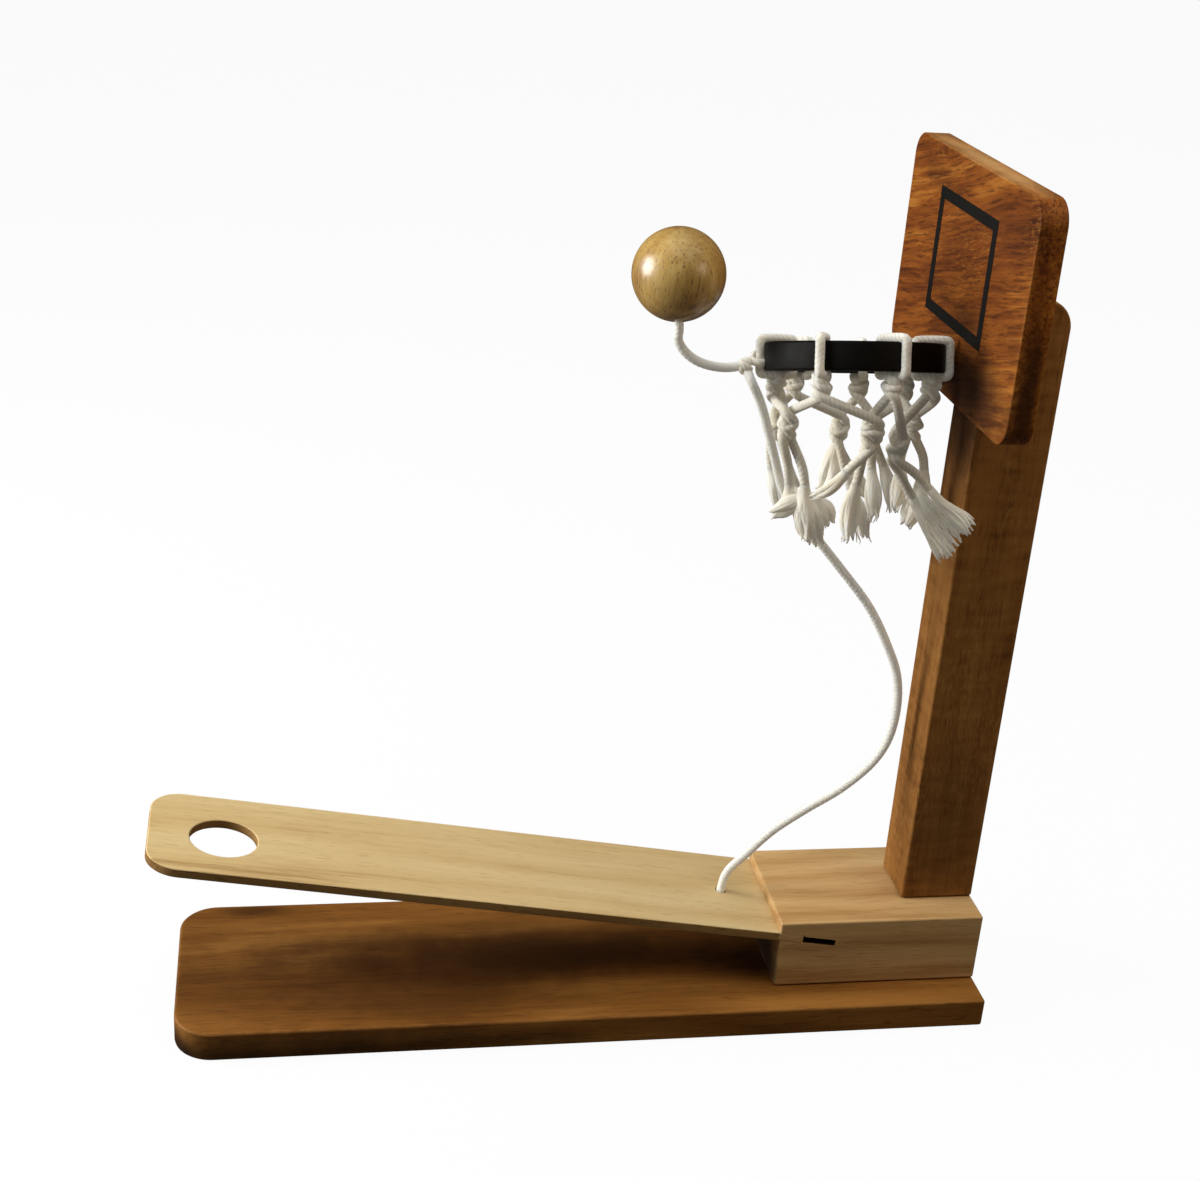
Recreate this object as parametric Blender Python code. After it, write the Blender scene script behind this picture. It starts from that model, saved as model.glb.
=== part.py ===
"""Wooden tabletop basketball game.

A base board carries a block, a post and a backboard with a roped hoop. A springy slat, held in a
sawn slot of the block, flicks a tethered wooden ball at the hoop.
Metres, +Z up. The origin is the centre of the base board's underside, +X runs to the post.
"""
import math

import bmesh
import bpy
from mathutils import Matrix, Vector

# Fits
GAP = 0.0003
EDGE_EASE = 0.0007

# Base board
BASE_LENGTH = 0.280
BASE_WIDTH = 0.075
BASE_THICKNESS = 0.0106
BASE_CORNER_RADIUS = 0.013

# Block, with the slot for the slat and the narrower saw kerf behind it
BLOCK_LENGTH = 0.0738
BLOCK_HEIGHT = 0.0257
SLOT_DEPTH = 0.0090
KERF_DEPTH = 0.0205
KERF_HEIGHT = 0.0022

# Launcher slat
ARM_LENGTH = 0.2173
ARM_WIDTH = 0.048
ARM_THICKNESS = 0.0033
ARM_SLOPE = math.radians(9.2)
ARM_ROOT_RISE = 0.0204
BLOCK_WIDTH = ARM_WIDTH
ARM_TIP_RADIUS = 0.011
BALL_HOLE_DIAMETER = 0.0226
BALL_HOLE_DISTANCE = 0.1924
BALL_HOLE_OFFSET = -0.002
CORD_HOLE_DISTANCE = 0.0168

# Post and backboard
POST_DEPTH = 0.0265
POST_WIDTH = 0.022
POST_HEIGHT = 0.2193
POST_TOP_RADIUS = 0.0095
BOARD_WIDTH = 0.111
BOARD_HEIGHT = 0.074
BOARD_THICKNESS = 0.0086
BOARD_CORNER_RADIUS = 0.008
BOARD_LAP = 0.0342

# Hoop: a turned wooden ring on one peg, about which it has rolled
HOOP_DIAMETER = 0.0572
HOOP_WALL = 0.0085
HOOP_HEIGHT = 0.0091
HOOP_RISE = 0.0112
HOOP_STANDOFF = 0.0021
HOOP_ROLL = math.radians(18.0)
HOOP_EASE = 0.0006
PEG_DIAMETER = 0.005
PEG_DEPTH = 0.0055

# Fastenings
SCREW_HEAD_DIAMETER = 0.007
SCREW_HEAD_HEIGHT = 0.0024
SCREW_DIAMETER = 0.0035
SCREW_LENGTH = 0.020
SCREW_POINT = 0.004
SCREW_SINK = 0.0006
SCREW_INSET = 0.019
DOWEL_DIAMETER = 0.005
DOWEL_CHAMFER = 0.0006
POST_DOWEL_DEPTH = 0.011
POST_DOWEL_SPACING = 0.011
BOARD_DOWEL_DEPTH = 0.0055
BOARD_DOWEL_RISE = 0.0190
BOARD_DOWEL_SPACING = 0.0090

# Cord and net: each loop's two legs are knotted under the ring, then to their neighbours' legs
CORD_DIAMETER = 0.003
TWIST_CLEARANCE = 0.0008
NET_LOOP_ANGLES = (30, 68, 124, 168, 229, 281, 337)
NET_KNOT_HEIGHT = 0.0065
NET_KNOT_TURN = math.radians(270)
NET_ROW_ANGLES = (48, 78, 148, 199, 272, 298, 4)
NET_ROW_DROPS = (0.0190, 0.0185, 0.0180, 0.0175, 0.0200, 0.0245, 0.0175)
NET_NARROWING = 0.0015
NET_TWIST_HEIGHT = 0.0090
NET_TWIST_TURN = math.radians(360)
NET_TAIL_SWELL = 1.9
NET_TAIL_ENDS = 5

# The two tails below each knot of the second row, in the order of the knots
NET_TAILS = (
    (((0.0950, 0.0170, 0.1900), (0.0980, 0.0160, 0.1820), (0.1000, 0.0150, 0.1740)),
     ((0.0895, 0.0130, 0.1900), (0.0905, 0.0105, 0.1815), (0.0915, 0.0085, 0.1730))),
    (((0.0850, 0.0225, 0.1880), (0.0900, 0.0215, 0.1810), (0.0945, 0.0200, 0.1770)),
     ((0.0820, 0.0170, 0.1880), (0.0870, 0.0150, 0.1760), (0.0915, 0.0140, 0.1640))),
    (((0.0550, 0.0140, 0.1920), (0.0580, 0.0135, 0.1820), (0.0605, 0.0130, 0.1740)),
     ((0.0600, 0.0100, 0.1920), (0.0670, 0.0090, 0.1790), (0.0730, 0.0085, 0.1680))),
    (((0.0545, -0.0075, 0.1980), (0.0557, -0.0055, 0.1865), (0.0505, -0.0045, 0.1805)),
     ((0.0585, -0.0100, 0.1990), (0.0605, -0.0110, 0.1865), (0.0620, -0.0120, 0.1745))),
    (((0.0695, -0.0245, 0.2056), (0.0637, -0.0235, 0.1979), (0.0585, -0.0205, 0.1931)),
     ((0.0739, -0.0195, 0.2020), (0.0727, -0.0195, 0.1894), (0.0736, -0.0200, 0.1765))),
    (((0.0920, -0.0205, 0.2020), (0.1020, -0.0205, 0.1920), (0.1140, -0.0195, 0.1830)),
     ((0.0880, -0.0160, 0.2010), (0.0965, -0.0160, 0.1880), (0.1085, -0.0170, 0.1715))),
    (((0.1025, 0.0020, 0.1990), (0.1038, 0.0025, 0.1890), (0.1016, 0.0020, 0.1785)),
     ((0.0948, 0.0020, 0.1990), (0.0958, 0.0020, 0.1900), (0.0945, 0.0010, 0.1800))),
)

# Ball and tether
BALL_DIAMETER = 0.0293
BALL_BORE_DEPTH = 0.008
HITCH_RADIUS = 0.0023
KNOT_RADIUS = 0.0034
KNOT_HEIGHT = 0.0056
STUB_RISE = 0.0025

# The ball and its stretch of cord hang in the air beside the hoop; (x, z) from the hitch.
# They swing in a plane on the hitch's far side, and the long stretch leaves on its near side.
HITCH_HEIGHT = -0.0031
HITCH_SIDE = math.radians(12)
SWING_PLANE = 0.0018
BALL_OFFSET = (-0.0235, 0.0283)
BALL_CORD_ROUTE = (
    (-0.0219, 0.0106),
    (-0.0219, 0.0075),
    (-0.0197, 0.0040),
    (-0.0155, 0.0009),
    (-0.0102, -0.0008),
    (-0.0048, -0.0012),
)

# Long stretch of the tether, from the hoop down past the net to the slat
TETHER_ROUTE = (
    (0.0412, -0.0008, 0.2250),
    (0.0446, -0.0005, 0.2187),
    (0.0487, 0.0000, 0.2082),
    (0.0522, 0.0005, 0.1982),
    (0.0555, 0.0010, 0.1892),
    (0.0628, 0.0020, 0.1782),
    (0.0695, 0.0020, 0.1709),
    (0.0791, 0.0015, 0.1600),
    (0.0909, 0.0010, 0.1458),
    (0.0989, 0.0010, 0.1321),
    (0.1041, 0.0010, 0.1203),
    (0.1059, 0.0010, 0.1085),
    (0.1046, 0.0010, 0.0955),
    (0.1001, 0.0010, 0.0861),
    (0.0901, 0.0010, 0.0759),
    (0.0771, 0.0005, 0.0674),
    (0.0661, 0.0000, 0.0594),
    (0.0565, 0.0000, 0.0490),
    (0.0524, 0.0000, 0.0445),
)
TETHER_POINT_SPACING = 2 * CORD_DIAMETER
BALL_CORD_POINT_SPACING = 1.5 * CORD_DIAMETER

# Places that follow from the sizes
END_X = BASE_LENGTH / 2
BLOCK_FRONT_X = END_X - BLOCK_LENGTH
BLOCK_BOTTOM = BASE_THICKNESS + GAP
BLOCK_TOP = BLOCK_BOTTOM + BLOCK_HEIGHT
POST_FRONT_X = END_X - POST_DEPTH
POST_BOTTOM = BLOCK_TOP + GAP
POST_TOP = POST_BOTTOM + POST_HEIGHT
BOARD_BACK_X = POST_FRONT_X - GAP
BOARD_FRONT_X = BOARD_BACK_X - BOARD_THICKNESS
BOARD_BOTTOM = POST_TOP - BOARD_LAP
HOOP_RADIUS = HOOP_DIAMETER / 2
HOOP_CENTRE = Vector((BOARD_FRONT_X - HOOP_STANDOFF - HOOP_RADIUS, 0, BOARD_BOTTOM + HOOP_RISE))
ARM_PIVOT = Vector((BLOCK_FRONT_X, 0, BLOCK_BOTTOM + ARM_ROOT_RISE))
CORD_RADIUS = CORD_DIAMETER / 2
CORD_OFFSET = CORD_RADIUS + GAP
TWIST_RADIUS = CORD_RADIUS + TWIST_CLEARANCE

MATERIALS = {
    "dark_wood": ((0.16, 0.065, 0.022), 0.5, 0.0),
    "light_wood": ((0.55, 0.36, 0.16), 0.5, 0.0),
    "ball_wood": ((0.52, 0.31, 0.11), 0.25, 0.0),
    "hoop_paint": ((0.008, 0.007, 0.007), 0.55, 0.0),
    "dowel_wood": ((0.50, 0.34, 0.18), 0.6, 0.0),
    "cotton_cord": ((0.62, 0.58, 0.48), 0.9, 0.0),
    "screw_steel": ((0.45, 0.45, 0.46), 0.35, 1.0),
}


def clear_scene():
    for obj in list(bpy.data.objects):
        bpy.data.objects.remove(obj, do_unlink=True)


def make_material(slot):
    colour, roughness, metallic = MATERIALS[slot]
    material = bpy.data.materials.new(slot)
    material.use_nodes = True
    shader = material.node_tree.nodes["Principled BSDF"]
    shader.inputs["Base Color"].default_value = (*colour, 1.0)
    shader.inputs["Roughness"].default_value = roughness
    shader.inputs["Metallic"].default_value = metallic
    return material


def place(obj, slot, parent=None):
    """Link an object, give it a material of its own and hang it on its parent."""
    bpy.context.collection.objects.link(obj)
    if slot:
        obj.data.materials.append(make_material(slot))
    if parent:
        obj.parent = parent
    return obj


def solid(name, bm, slot, parent=None, smooth_angle=None):
    bmesh.ops.recalc_face_normals(bm, faces=bm.faces)
    mesh = bpy.data.meshes.new(name)
    bm.to_mesh(mesh)
    bm.free()
    if smooth_angle:
        mesh.shade_smooth()
        mesh.set_sharp_from_angle(angle=smooth_angle)
    return place(bpy.data.objects.new(name, mesh), slot, parent)


def cutter(name, bm, parent=None):
    obj = solid(name, bm, None, parent)
    obj.hide_render = True
    obj.display_type = "WIRE"
    return obj


def cut(obj, tool):
    modifier = obj.modifiers.new("cut " + tool.name, "BOOLEAN")
    modifier.operation = "DIFFERENCE"
    modifier.solver = "EXACT"
    modifier.object = tool


def ease_edges(obj, width=EDGE_EASE, limit=math.radians(40)):
    modifier = obj.modifiers.new("eased edges", "BEVEL")
    modifier.width = width
    modifier.segments = 2
    modifier.limit_method = "ANGLE"
    modifier.angle_limit = limit


def rounded_outline(low, high, radii, steps=7):
    """Corners counter-clockwise from the low corner, each with its own radius."""
    corners = ((low[0], low[1]), (high[0], low[1]), (high[0], high[1]), (low[0], high[1]))
    inward = ((1, 1), (-1, 1), (-1, -1), (1, -1))
    points = []
    for index, (corner, side, radius) in enumerate(zip(corners, inward, radii)):
        if radius == 0:
            points.append(corner)
            continue
        centre = (corner[0] + side[0] * radius, corner[1] + side[1] * radius)
        start = math.pi * (1 + index / 2)
        for step in range(steps + 1):
            angle = start + math.pi / 2 * step / steps
            x = centre[0] + radius * math.cos(angle)
            y = centre[1] + radius * math.sin(angle)
            points.append((x, y))
    return points


def prism(outline, low, high, axes):
    """Extrude an outline between two levels; axes places its (u, v, w) on the world's axes."""
    bm = bmesh.new()
    face = bm.faces.new([bm.verts.new((u, v, low)) for u, v in outline])
    extruded = bmesh.ops.extrude_face_region(bm, geom=[face])
    top = [item for item in extruded["geom"] if isinstance(item, bmesh.types.BMVert)]
    bmesh.ops.translate(bm, verts=top, vec=(0, 0, high - low))
    bmesh.ops.transform(bm, matrix=axes, verts=bm.verts)
    return bm


ALONG_Z = Matrix.Identity(4)
ALONG_Y = Matrix(((1, 0, 0, 0), (0, 0, -1, 0), (0, 1, 0, 0), (0, 0, 0, 1)))
ALONG_X = Matrix(((0, 0, 1, 0), (1, 0, 0, 0), (0, 1, 0, 0), (0, 0, 0, 1)))


def turned(profile, sides, axes=ALONG_Z):
    """Turn a (radius, height) profile about the w axis; a radius of 0 closes on the axis."""
    bm = bmesh.new()
    rings = []
    for radius, height in profile:
        if radius == 0:
            rings.append([bm.verts.new((0, 0, height))])
            continue
        ring = []
        for side in range(sides):
            angle = 2 * math.pi * side / sides
            ring.append(bm.verts.new((radius * math.cos(angle), radius * math.sin(angle), height)))
        rings.append(ring)
    for upper, lower in zip(rings, rings[1:]):
        for side in range(sides):
            following = (side + 1) % sides
            face = [upper[side % len(upper)], upper[following % len(upper)]]
            face += [lower[following % len(lower)], lower[side % len(lower)]]
            bm.faces.new(list(dict.fromkeys(face)))
    bmesh.ops.transform(bm, matrix=axes, verts=bm.verts)
    return bm


def drill_bit(radius, low, high, sides=20, axes=ALONG_Z):
    return turned(((0, low), (radius, low), (radius, high), (0, high)), sides, axes)


def dowel(radius, low, high, axes=ALONG_Z):
    profile = (
        (0, low),
        (radius - DOWEL_CHAMFER, low),
        (radius, low + DOWEL_CHAMFER),
        (radius, high - DOWEL_CHAMFER),
        (radius - DOWEL_CHAMFER, high),
        (0, high),
    )
    return turned(profile, 16, axes)


def smooth_route(route, steps=16):
    """Centripetal Catmull-Rom curve through the route's points, densely sampled."""
    points = [Vector(point) for point in route]
    points = [2 * points[0] - points[1]] + points + [2 * points[-1] - points[-2]]
    curve = []
    for p0, p1, p2, p3 in zip(points, points[1:], points[2:], points[3:]):
        t1 = math.sqrt((p1 - p0).length)
        t2 = t1 + math.sqrt((p2 - p1).length)
        t3 = t2 + math.sqrt((p3 - p2).length)
        for step in range(steps):
            t = t1 + (t2 - t1) * step / steps
            a1 = p0.lerp(p1, t / t1)
            a2 = p1.lerp(p2, (t - t1) / (t2 - t1))
            a3 = p2.lerp(p3, (t - t2) / (t3 - t2))
            b1 = a1.lerp(a2, t / t2)
            b2 = a2.lerp(a3, (t - t1) / (t3 - t1))
            curve.append(b1.lerp(b2, (t - t1) / (t2 - t1)))
    return curve + [points[-2]]


def route_length(points):
    return sum((b - a).length for a, b in zip(points, points[1:]))


def even_points(route, spacing):
    """Points at an even spacing along the smooth curve through a route."""
    curve = smooth_route(route)
    count = max(2, round(route_length(curve) / spacing))
    step = route_length(curve) / count
    points = [curve[0]]
    walked = 0.0
    for a, b in zip(curve, curve[1:]):
        length = (b - a).length
        while len(points) < count and walked + length >= step * len(points):
            points.append(a.lerp(b, (step * len(points) - walked) / length))
        walked += length
    return points + [curve[-1]]


def add_cord(name, points, sides_level, origin=Vector(), swell=None, parent=None):
    curve = bpy.data.curves.new(name, "CURVE")
    curve.dimensions = "3D"
    curve.bevel_depth = CORD_RADIUS
    curve.bevel_resolution = sides_level
    curve.use_fill_caps = True
    spline = curve.splines.new("POLY")
    spline.points.add(len(points) - 1)
    for index, (target, point) in enumerate(zip(spline.points, points)):
        target.co = (*(point - origin), 1)
        target.radius = swell[index] if swell else 1.0
    obj = place(bpy.data.objects.new(name, curve), "cotton_cord", parent)
    if not parent:
        obj.location = origin
    return obj


def build_base(screw_holes):
    outline = rounded_outline(
        (-END_X, -BASE_WIDTH / 2),
        (END_X, BASE_WIDTH / 2),
        (BASE_CORNER_RADIUS, 0, 0, BASE_CORNER_RADIUS),
    )
    base = solid("base_board", prism(outline, 0, BASE_THICKNESS, ALONG_Z), "dark_wood")
    ease_edges(base)
    for hole in screw_holes:
        cut(base, hole)


def build_block(pivot, screw_holes, dowel_holes):
    outline = rounded_outline((BLOCK_FRONT_X, -BLOCK_WIDTH / 2), (END_X, BLOCK_WIDTH / 2), (0, 0, 0, 0))
    block = solid("spring_block", prism(outline, BLOCK_BOTTOM, BLOCK_TOP, ALONG_Z), "light_wood")
    ease_edges(block)
    reach = BLOCK_WIDTH
    half_slot = ARM_THICKNESS / 2 + GAP
    slot = rounded_outline((-reach / 4, -half_slot), (SLOT_DEPTH, half_slot), (0, 0, 0, 0))
    kerf = rounded_outline((0, -KERF_HEIGHT / 2), (KERF_DEPTH, KERF_HEIGHT / 2), (0, 0, 0, 0))
    cut(block, cutter("slat_slot", prism(slot, -reach, reach, ALONG_Y), pivot))
    cut(block, cutter("saw_kerf", prism(kerf, -reach, reach, ALONG_Y), pivot))
    for hole in screw_holes + dowel_holes:
        cut(block, hole)


def build_arm(pivot):
    """The slat: its root is rounded about the bending line, its glued tongue fills the slot."""
    half = ARM_THICKNESS / 2
    outline = rounded_outline(
        (-ARM_LENGTH, -ARM_WIDTH / 2),
        (half, ARM_WIDTH / 2),
        (ARM_TIP_RADIUS, 0, 0, ARM_TIP_RADIUS),
    )
    bm = prism(outline, -half, half, ALONG_Z)
    root = [edge for edge in bm.edges
            if all(vert.co.x > 0 for vert in edge.verts)
            and edge.verts[0].co.z == edge.verts[1].co.z]
    bmesh.ops.bevel(bm, geom=root, offset=half * 0.98, segments=6, profile=0.5, affect="EDGES")
    arm = solid("launcher_arm", bm, "light_wood", pivot, math.radians(30))
    ease_edges(arm, EDGE_EASE * 0.6)
    seat = Matrix.Translation((-BALL_HOLE_DISTANCE, BALL_HOLE_OFFSET, 0))
    seat_bit = drill_bit(BALL_HOLE_DIAMETER / 2, -ARM_THICKNESS, ARM_THICKNESS, 40, seat)
    cut(arm, cutter("ball_seat_bit", seat_bit, pivot))
    eye = Matrix.Translation((-CORD_HOLE_DISTANCE, 0, 0))
    cut(arm, cutter("cord_eye_bit", drill_bit(CORD_OFFSET, -ARM_THICKNESS, ARM_THICKNESS, 12, eye), pivot))
    tongue = rounded_outline((half + GAP, -half), (SLOT_DEPTH - GAP, half), (0, 0, 0, 0))
    solid("arm_tongue", prism(tongue, -ARM_WIDTH / 2, ARM_WIDTH / 2, ALONG_Y), "light_wood", pivot)


def build_post(dowel_holes):
    outline = rounded_outline((POST_FRONT_X, POST_BOTTOM), (END_X, POST_TOP), (0, 0, POST_TOP_RADIUS, 0))
    post = solid("post", prism(outline, -POST_WIDTH / 2, POST_WIDTH / 2, ALONG_Y), "dark_wood")
    ease_edges(post)
    for hole in dowel_holes:
        cut(post, hole)


def build_backboard(holes):
    outline = rounded_outline(
        (-BOARD_WIDTH / 2, BOARD_BOTTOM),
        (BOARD_WIDTH / 2, BOARD_BOTTOM + BOARD_HEIGHT),
        (BOARD_CORNER_RADIUS,) * 4,
    )
    board = solid("backboard", prism(outline, BOARD_FRONT_X, BOARD_BACK_X, ALONG_X), "dark_wood")
    ease_edges(board)
    for hole in holes:
        cut(board, hole)


def build_hoop(peg_hole):
    outer, inner, half = HOOP_RADIUS, HOOP_RADIUS - HOOP_WALL, HOOP_HEIGHT / 2
    profile = (
        (outer - HOOP_EASE, half),
        (outer, half - HOOP_EASE),
        (outer, HOOP_EASE - half),
        (outer - HOOP_EASE, -half),
        (inner + HOOP_EASE, -half),
        (inner, HOOP_EASE - half),
        (inner, half - HOOP_EASE),
        (inner + HOOP_EASE, half),
        (outer - HOOP_EASE, half),
    )
    bm = turned(profile, 48)
    bmesh.ops.remove_doubles(bm, verts=bm.verts, dist=HOOP_EASE / 100)
    hoop = solid("hoop_ring", bm, "hoop_paint", smooth_angle=math.radians(30))
    hoop.location = HOOP_CENTRE
    hoop.rotation_euler.x = -HOOP_ROLL
    cut(hoop, peg_hole)
    start = HOOP_CENTRE.x + inner + HOOP_EASE
    axes = Matrix.Translation((0, 0, HOOP_CENTRE.z)) @ ALONG_X
    solid("hoop_peg", dowel(PEG_DIAMETER / 2, start, BOARD_FRONT_X + PEG_DEPTH, axes), "dowel_wood")


def peg_hole_cutter():
    start = HOOP_CENTRE.x + HOOP_RADIUS - 2 * HOOP_WALL
    axes = Matrix.Translation((0, 0, HOOP_CENTRE.z)) @ ALONG_X
    bit = drill_bit(PEG_DIAMETER / 2 + GAP, start, BOARD_FRONT_X + PEG_DEPTH + GAP, 16, axes)
    return cutter("peg_hole", bit)


def build_screws():
    """Countersunk screws from beneath, and the holes that clear them."""
    head, shank = SCREW_HEAD_DIAMETER / 2, SCREW_DIAMETER / 2
    neck = SCREW_SINK + SCREW_HEAD_HEIGHT
    tip = SCREW_SINK + SCREW_LENGTH
    holes = []
    for number, x in enumerate((BLOCK_FRONT_X + SCREW_INSET, END_X - SCREW_INSET), start=1):
        axes = Matrix.Translation((x, 0, 0))
        profile = ((0, SCREW_SINK), (head, SCREW_SINK), (shank, neck), (shank, tip - SCREW_POINT), (0, tip))
        solid("block_screw_%d" % number, turned(profile, 16, axes), "screw_steel")
        bore = (
            (0, -BASE_THICKNESS),
            (head + GAP, -BASE_THICKNESS),
            (head + GAP, SCREW_SINK),
            (shank + GAP, neck),
            (shank + GAP, tip + GAP),
            (0, tip + GAP),
        )
        holes.append(cutter("screw_hole_%d" % number, turned(bore, 16, axes)))
    return holes


def build_dowels(prefix, places, depth, plane):
    """Dowels across a joint plane, and the blind holes that hold them; places are axes matrices."""
    holes = []
    radius = DOWEL_DIAMETER / 2
    for number, axes in enumerate(places, start=1):
        solid("%s_%d" % (prefix, number), dowel(radius, plane - depth, plane + depth, axes), "dowel_wood")
        bit = drill_bit(radius + GAP, plane - depth - GAP, plane + depth + GAP, 16, axes)
        holes.append(cutter("%s_hole_%d" % (prefix, number), bit))
    return holes


def post_dowels():
    middle = END_X - POST_DEPTH / 2
    places = [Matrix.Translation((middle + side * POST_DOWEL_SPACING / 2, 0, 0)) for side in (-1, 1)]
    return build_dowels("post_dowel", places, POST_DOWEL_DEPTH, (BLOCK_TOP + POST_BOTTOM) / 2)


def board_dowels():
    places = []
    for step in (0, 1):
        height = BOARD_BOTTOM + BOARD_DOWEL_RISE + step * BOARD_DOWEL_SPACING
        places.append(Matrix.Translation((0, 0, height)) @ ALONG_X)
    return build_dowels("board_dowel", places, BOARD_DOWEL_DEPTH, (BOARD_BACK_X + POST_FRONT_X) / 2)


def hoop_axes(angle):
    """The rolled ring's outward, sideways and upward directions at an angle."""
    along = Vector((1, 0, 0))
    across = Vector((0, math.cos(HOOP_ROLL), -math.sin(HOOP_ROLL)))
    upward = Vector((0, math.sin(HOOP_ROLL), math.cos(HOOP_ROLL)))
    outward = along * math.cos(angle) + across * math.sin(angle)
    sideways = across * math.cos(angle) - along * math.sin(angle)
    return outward, sideways, upward


def on_hoop(angle, radius, sideways_offset, height):
    outward, sideways, upward = hoop_axes(angle)
    return HOOP_CENTRE + outward * radius + sideways * sideways_offset + upward * height


def wrap_points(angle):
    """A loop over the ring's wall, from outside underneath to inside underneath.

    Its outer and inner runs lie side by side, so the run over the top slants.
    """
    outer, inner = HOOP_RADIUS, HOOP_RADIUS - HOOP_WALL
    half, step = HOOP_HEIGHT / 2, CORD_OFFSET
    corner = step * math.cos(math.pi / 4)
    profile = (
        (outer, -half - step, 1),
        (outer + corner, -half - corner, 1),
        (outer + step, -half, 1),
        (outer + step, 0, 1),
        (outer + step, half, 1),
        (outer + corner, half + corner, 0.9),
        (outer, half + step, 0.6),
        (inner, half + step, -0.6),
        (inner - corner, half + corner, -0.9),
        (inner - step, half, -1),
        (inner - step, 0, -1),
        (inner - step, -half, -1),
        (inner - corner, -half - corner, -1),
        (inner, -half - step, -1),
    )
    return [on_hoop(angle, radius, side * TWIST_RADIUS, height) for radius, height, side in profile]


def twist(top, axes, height, start, turn):
    """One strand of a two-strand twist, from the top down, with a point every eighth of a turn."""
    outward, sideways, upward = axes
    steps = round(turn / (math.pi / 4))
    points = []
    for step in range(steps + 1):
        angle = start + turn * step / steps
        offset = outward * math.cos(angle) + sideways * math.sin(angle)
        points.append(top + offset * TWIST_RADIUS - upward * height * step / steps)
    return points


def loop_leg(index, side):
    """One leg of a loop from its knot down; side is 1 towards the next loop, -1 towards the last."""
    angle = math.radians(NET_LOOP_ANGLES[index])
    middle_radius = HOOP_RADIUS - HOOP_WALL / 2
    top = on_hoop(angle, middle_radius, 0, -HOOP_HEIGHT / 2 - CORD_OFFSET)
    start = side * math.pi / 2
    knot = twist(top, hoop_axes(angle), NET_KNOT_HEIGHT, start, NET_KNOT_TURN)

    row = index if side > 0 else index - 1
    angle = math.radians(NET_ROW_ANGLES[row])
    outward = Vector((math.cos(angle), math.sin(angle), 0))
    sideways = Vector((-math.sin(angle), math.cos(angle), 0))
    upward = Vector((0, 0, 1))
    top = on_hoop(angle, middle_radius, 0, -HOOP_HEIGHT / 2) - outward * NET_NARROWING
    top -= upward * (NET_ROW_DROPS[row] - NET_TWIST_HEIGHT / 2)
    start = 0.0 if side > 0 else math.pi
    pair = twist(top, (outward, sideways, upward), NET_TWIST_HEIGHT, start, NET_TWIST_TURN)

    steps = 4
    bridge = smooth_route([knot[-2], knot[-1], pair[0], pair[1]], steps)[steps + 1:2 * steps]
    tail_route = [pair[-2], pair[-1]] + list(NET_TAILS[row][0 if side > 0 else 1])
    tail = smooth_route(tail_route, steps)[steps + 1:]
    return knot + bridge + pair + tail


def least_gap(cords):
    """Least gap between the surfaces of cord points that aren't neighbours on one cord."""
    tagged = []
    for cord, (points, swell) in enumerate(cords):
        for place_on_cord, (point, factor) in enumerate(zip(points, swell)):
            tagged.append((cord, place_on_cord, point, factor * CORD_RADIUS))
    near = 6
    least = HOOP_DIAMETER
    for index, (cord, place_on_cord, point, radius) in enumerate(tagged):
        for other_cord, other_place, other, other_radius in tagged[index + 1:]:
            if cord == other_cord and abs(place_on_cord - other_place) < near:
                continue
            least = min(least, (point - other).length - radius - other_radius)
    return least


def build_net():
    cords = []
    for index, degrees in enumerate(NET_LOOP_ANGLES):
        points = loop_leg(index, 1)[::-1] + wrap_points(math.radians(degrees)) + loop_leg(index, -1)
        count = len(points)
        swell = []
        for place_on_cord in range(count):
            from_end = min(place_on_cord, count - 1 - place_on_cord)
            share = max(0.0, 1 - from_end / NET_TAIL_ENDS)
            swell.append(1 + (NET_TAIL_SWELL - 1) * share)
        add_cord("net_cord_%d" % (index + 1), points, 1, swell=swell)
        cords.append((points, swell))
        print("net cord %d: %.1f mm of cord" % (index + 1, route_length(points) * 1000))
    print("net: least gap between cords %.2f mm" % (least_gap(cords) * 1000))


def hitch_point():
    """Beside the front loop's outer run, where the tether is tied to it."""
    angle = math.radians(min(NET_LOOP_ANGLES, key=lambda degrees: abs(degrees - 180)))
    run = on_hoop(angle, HOOP_RADIUS + CORD_OFFSET, TWIST_RADIUS, HITCH_HEIGHT)
    return run + hoop_axes(angle + HITCH_SIDE)[0] * (CORD_OFFSET + HITCH_RADIUS)


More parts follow.
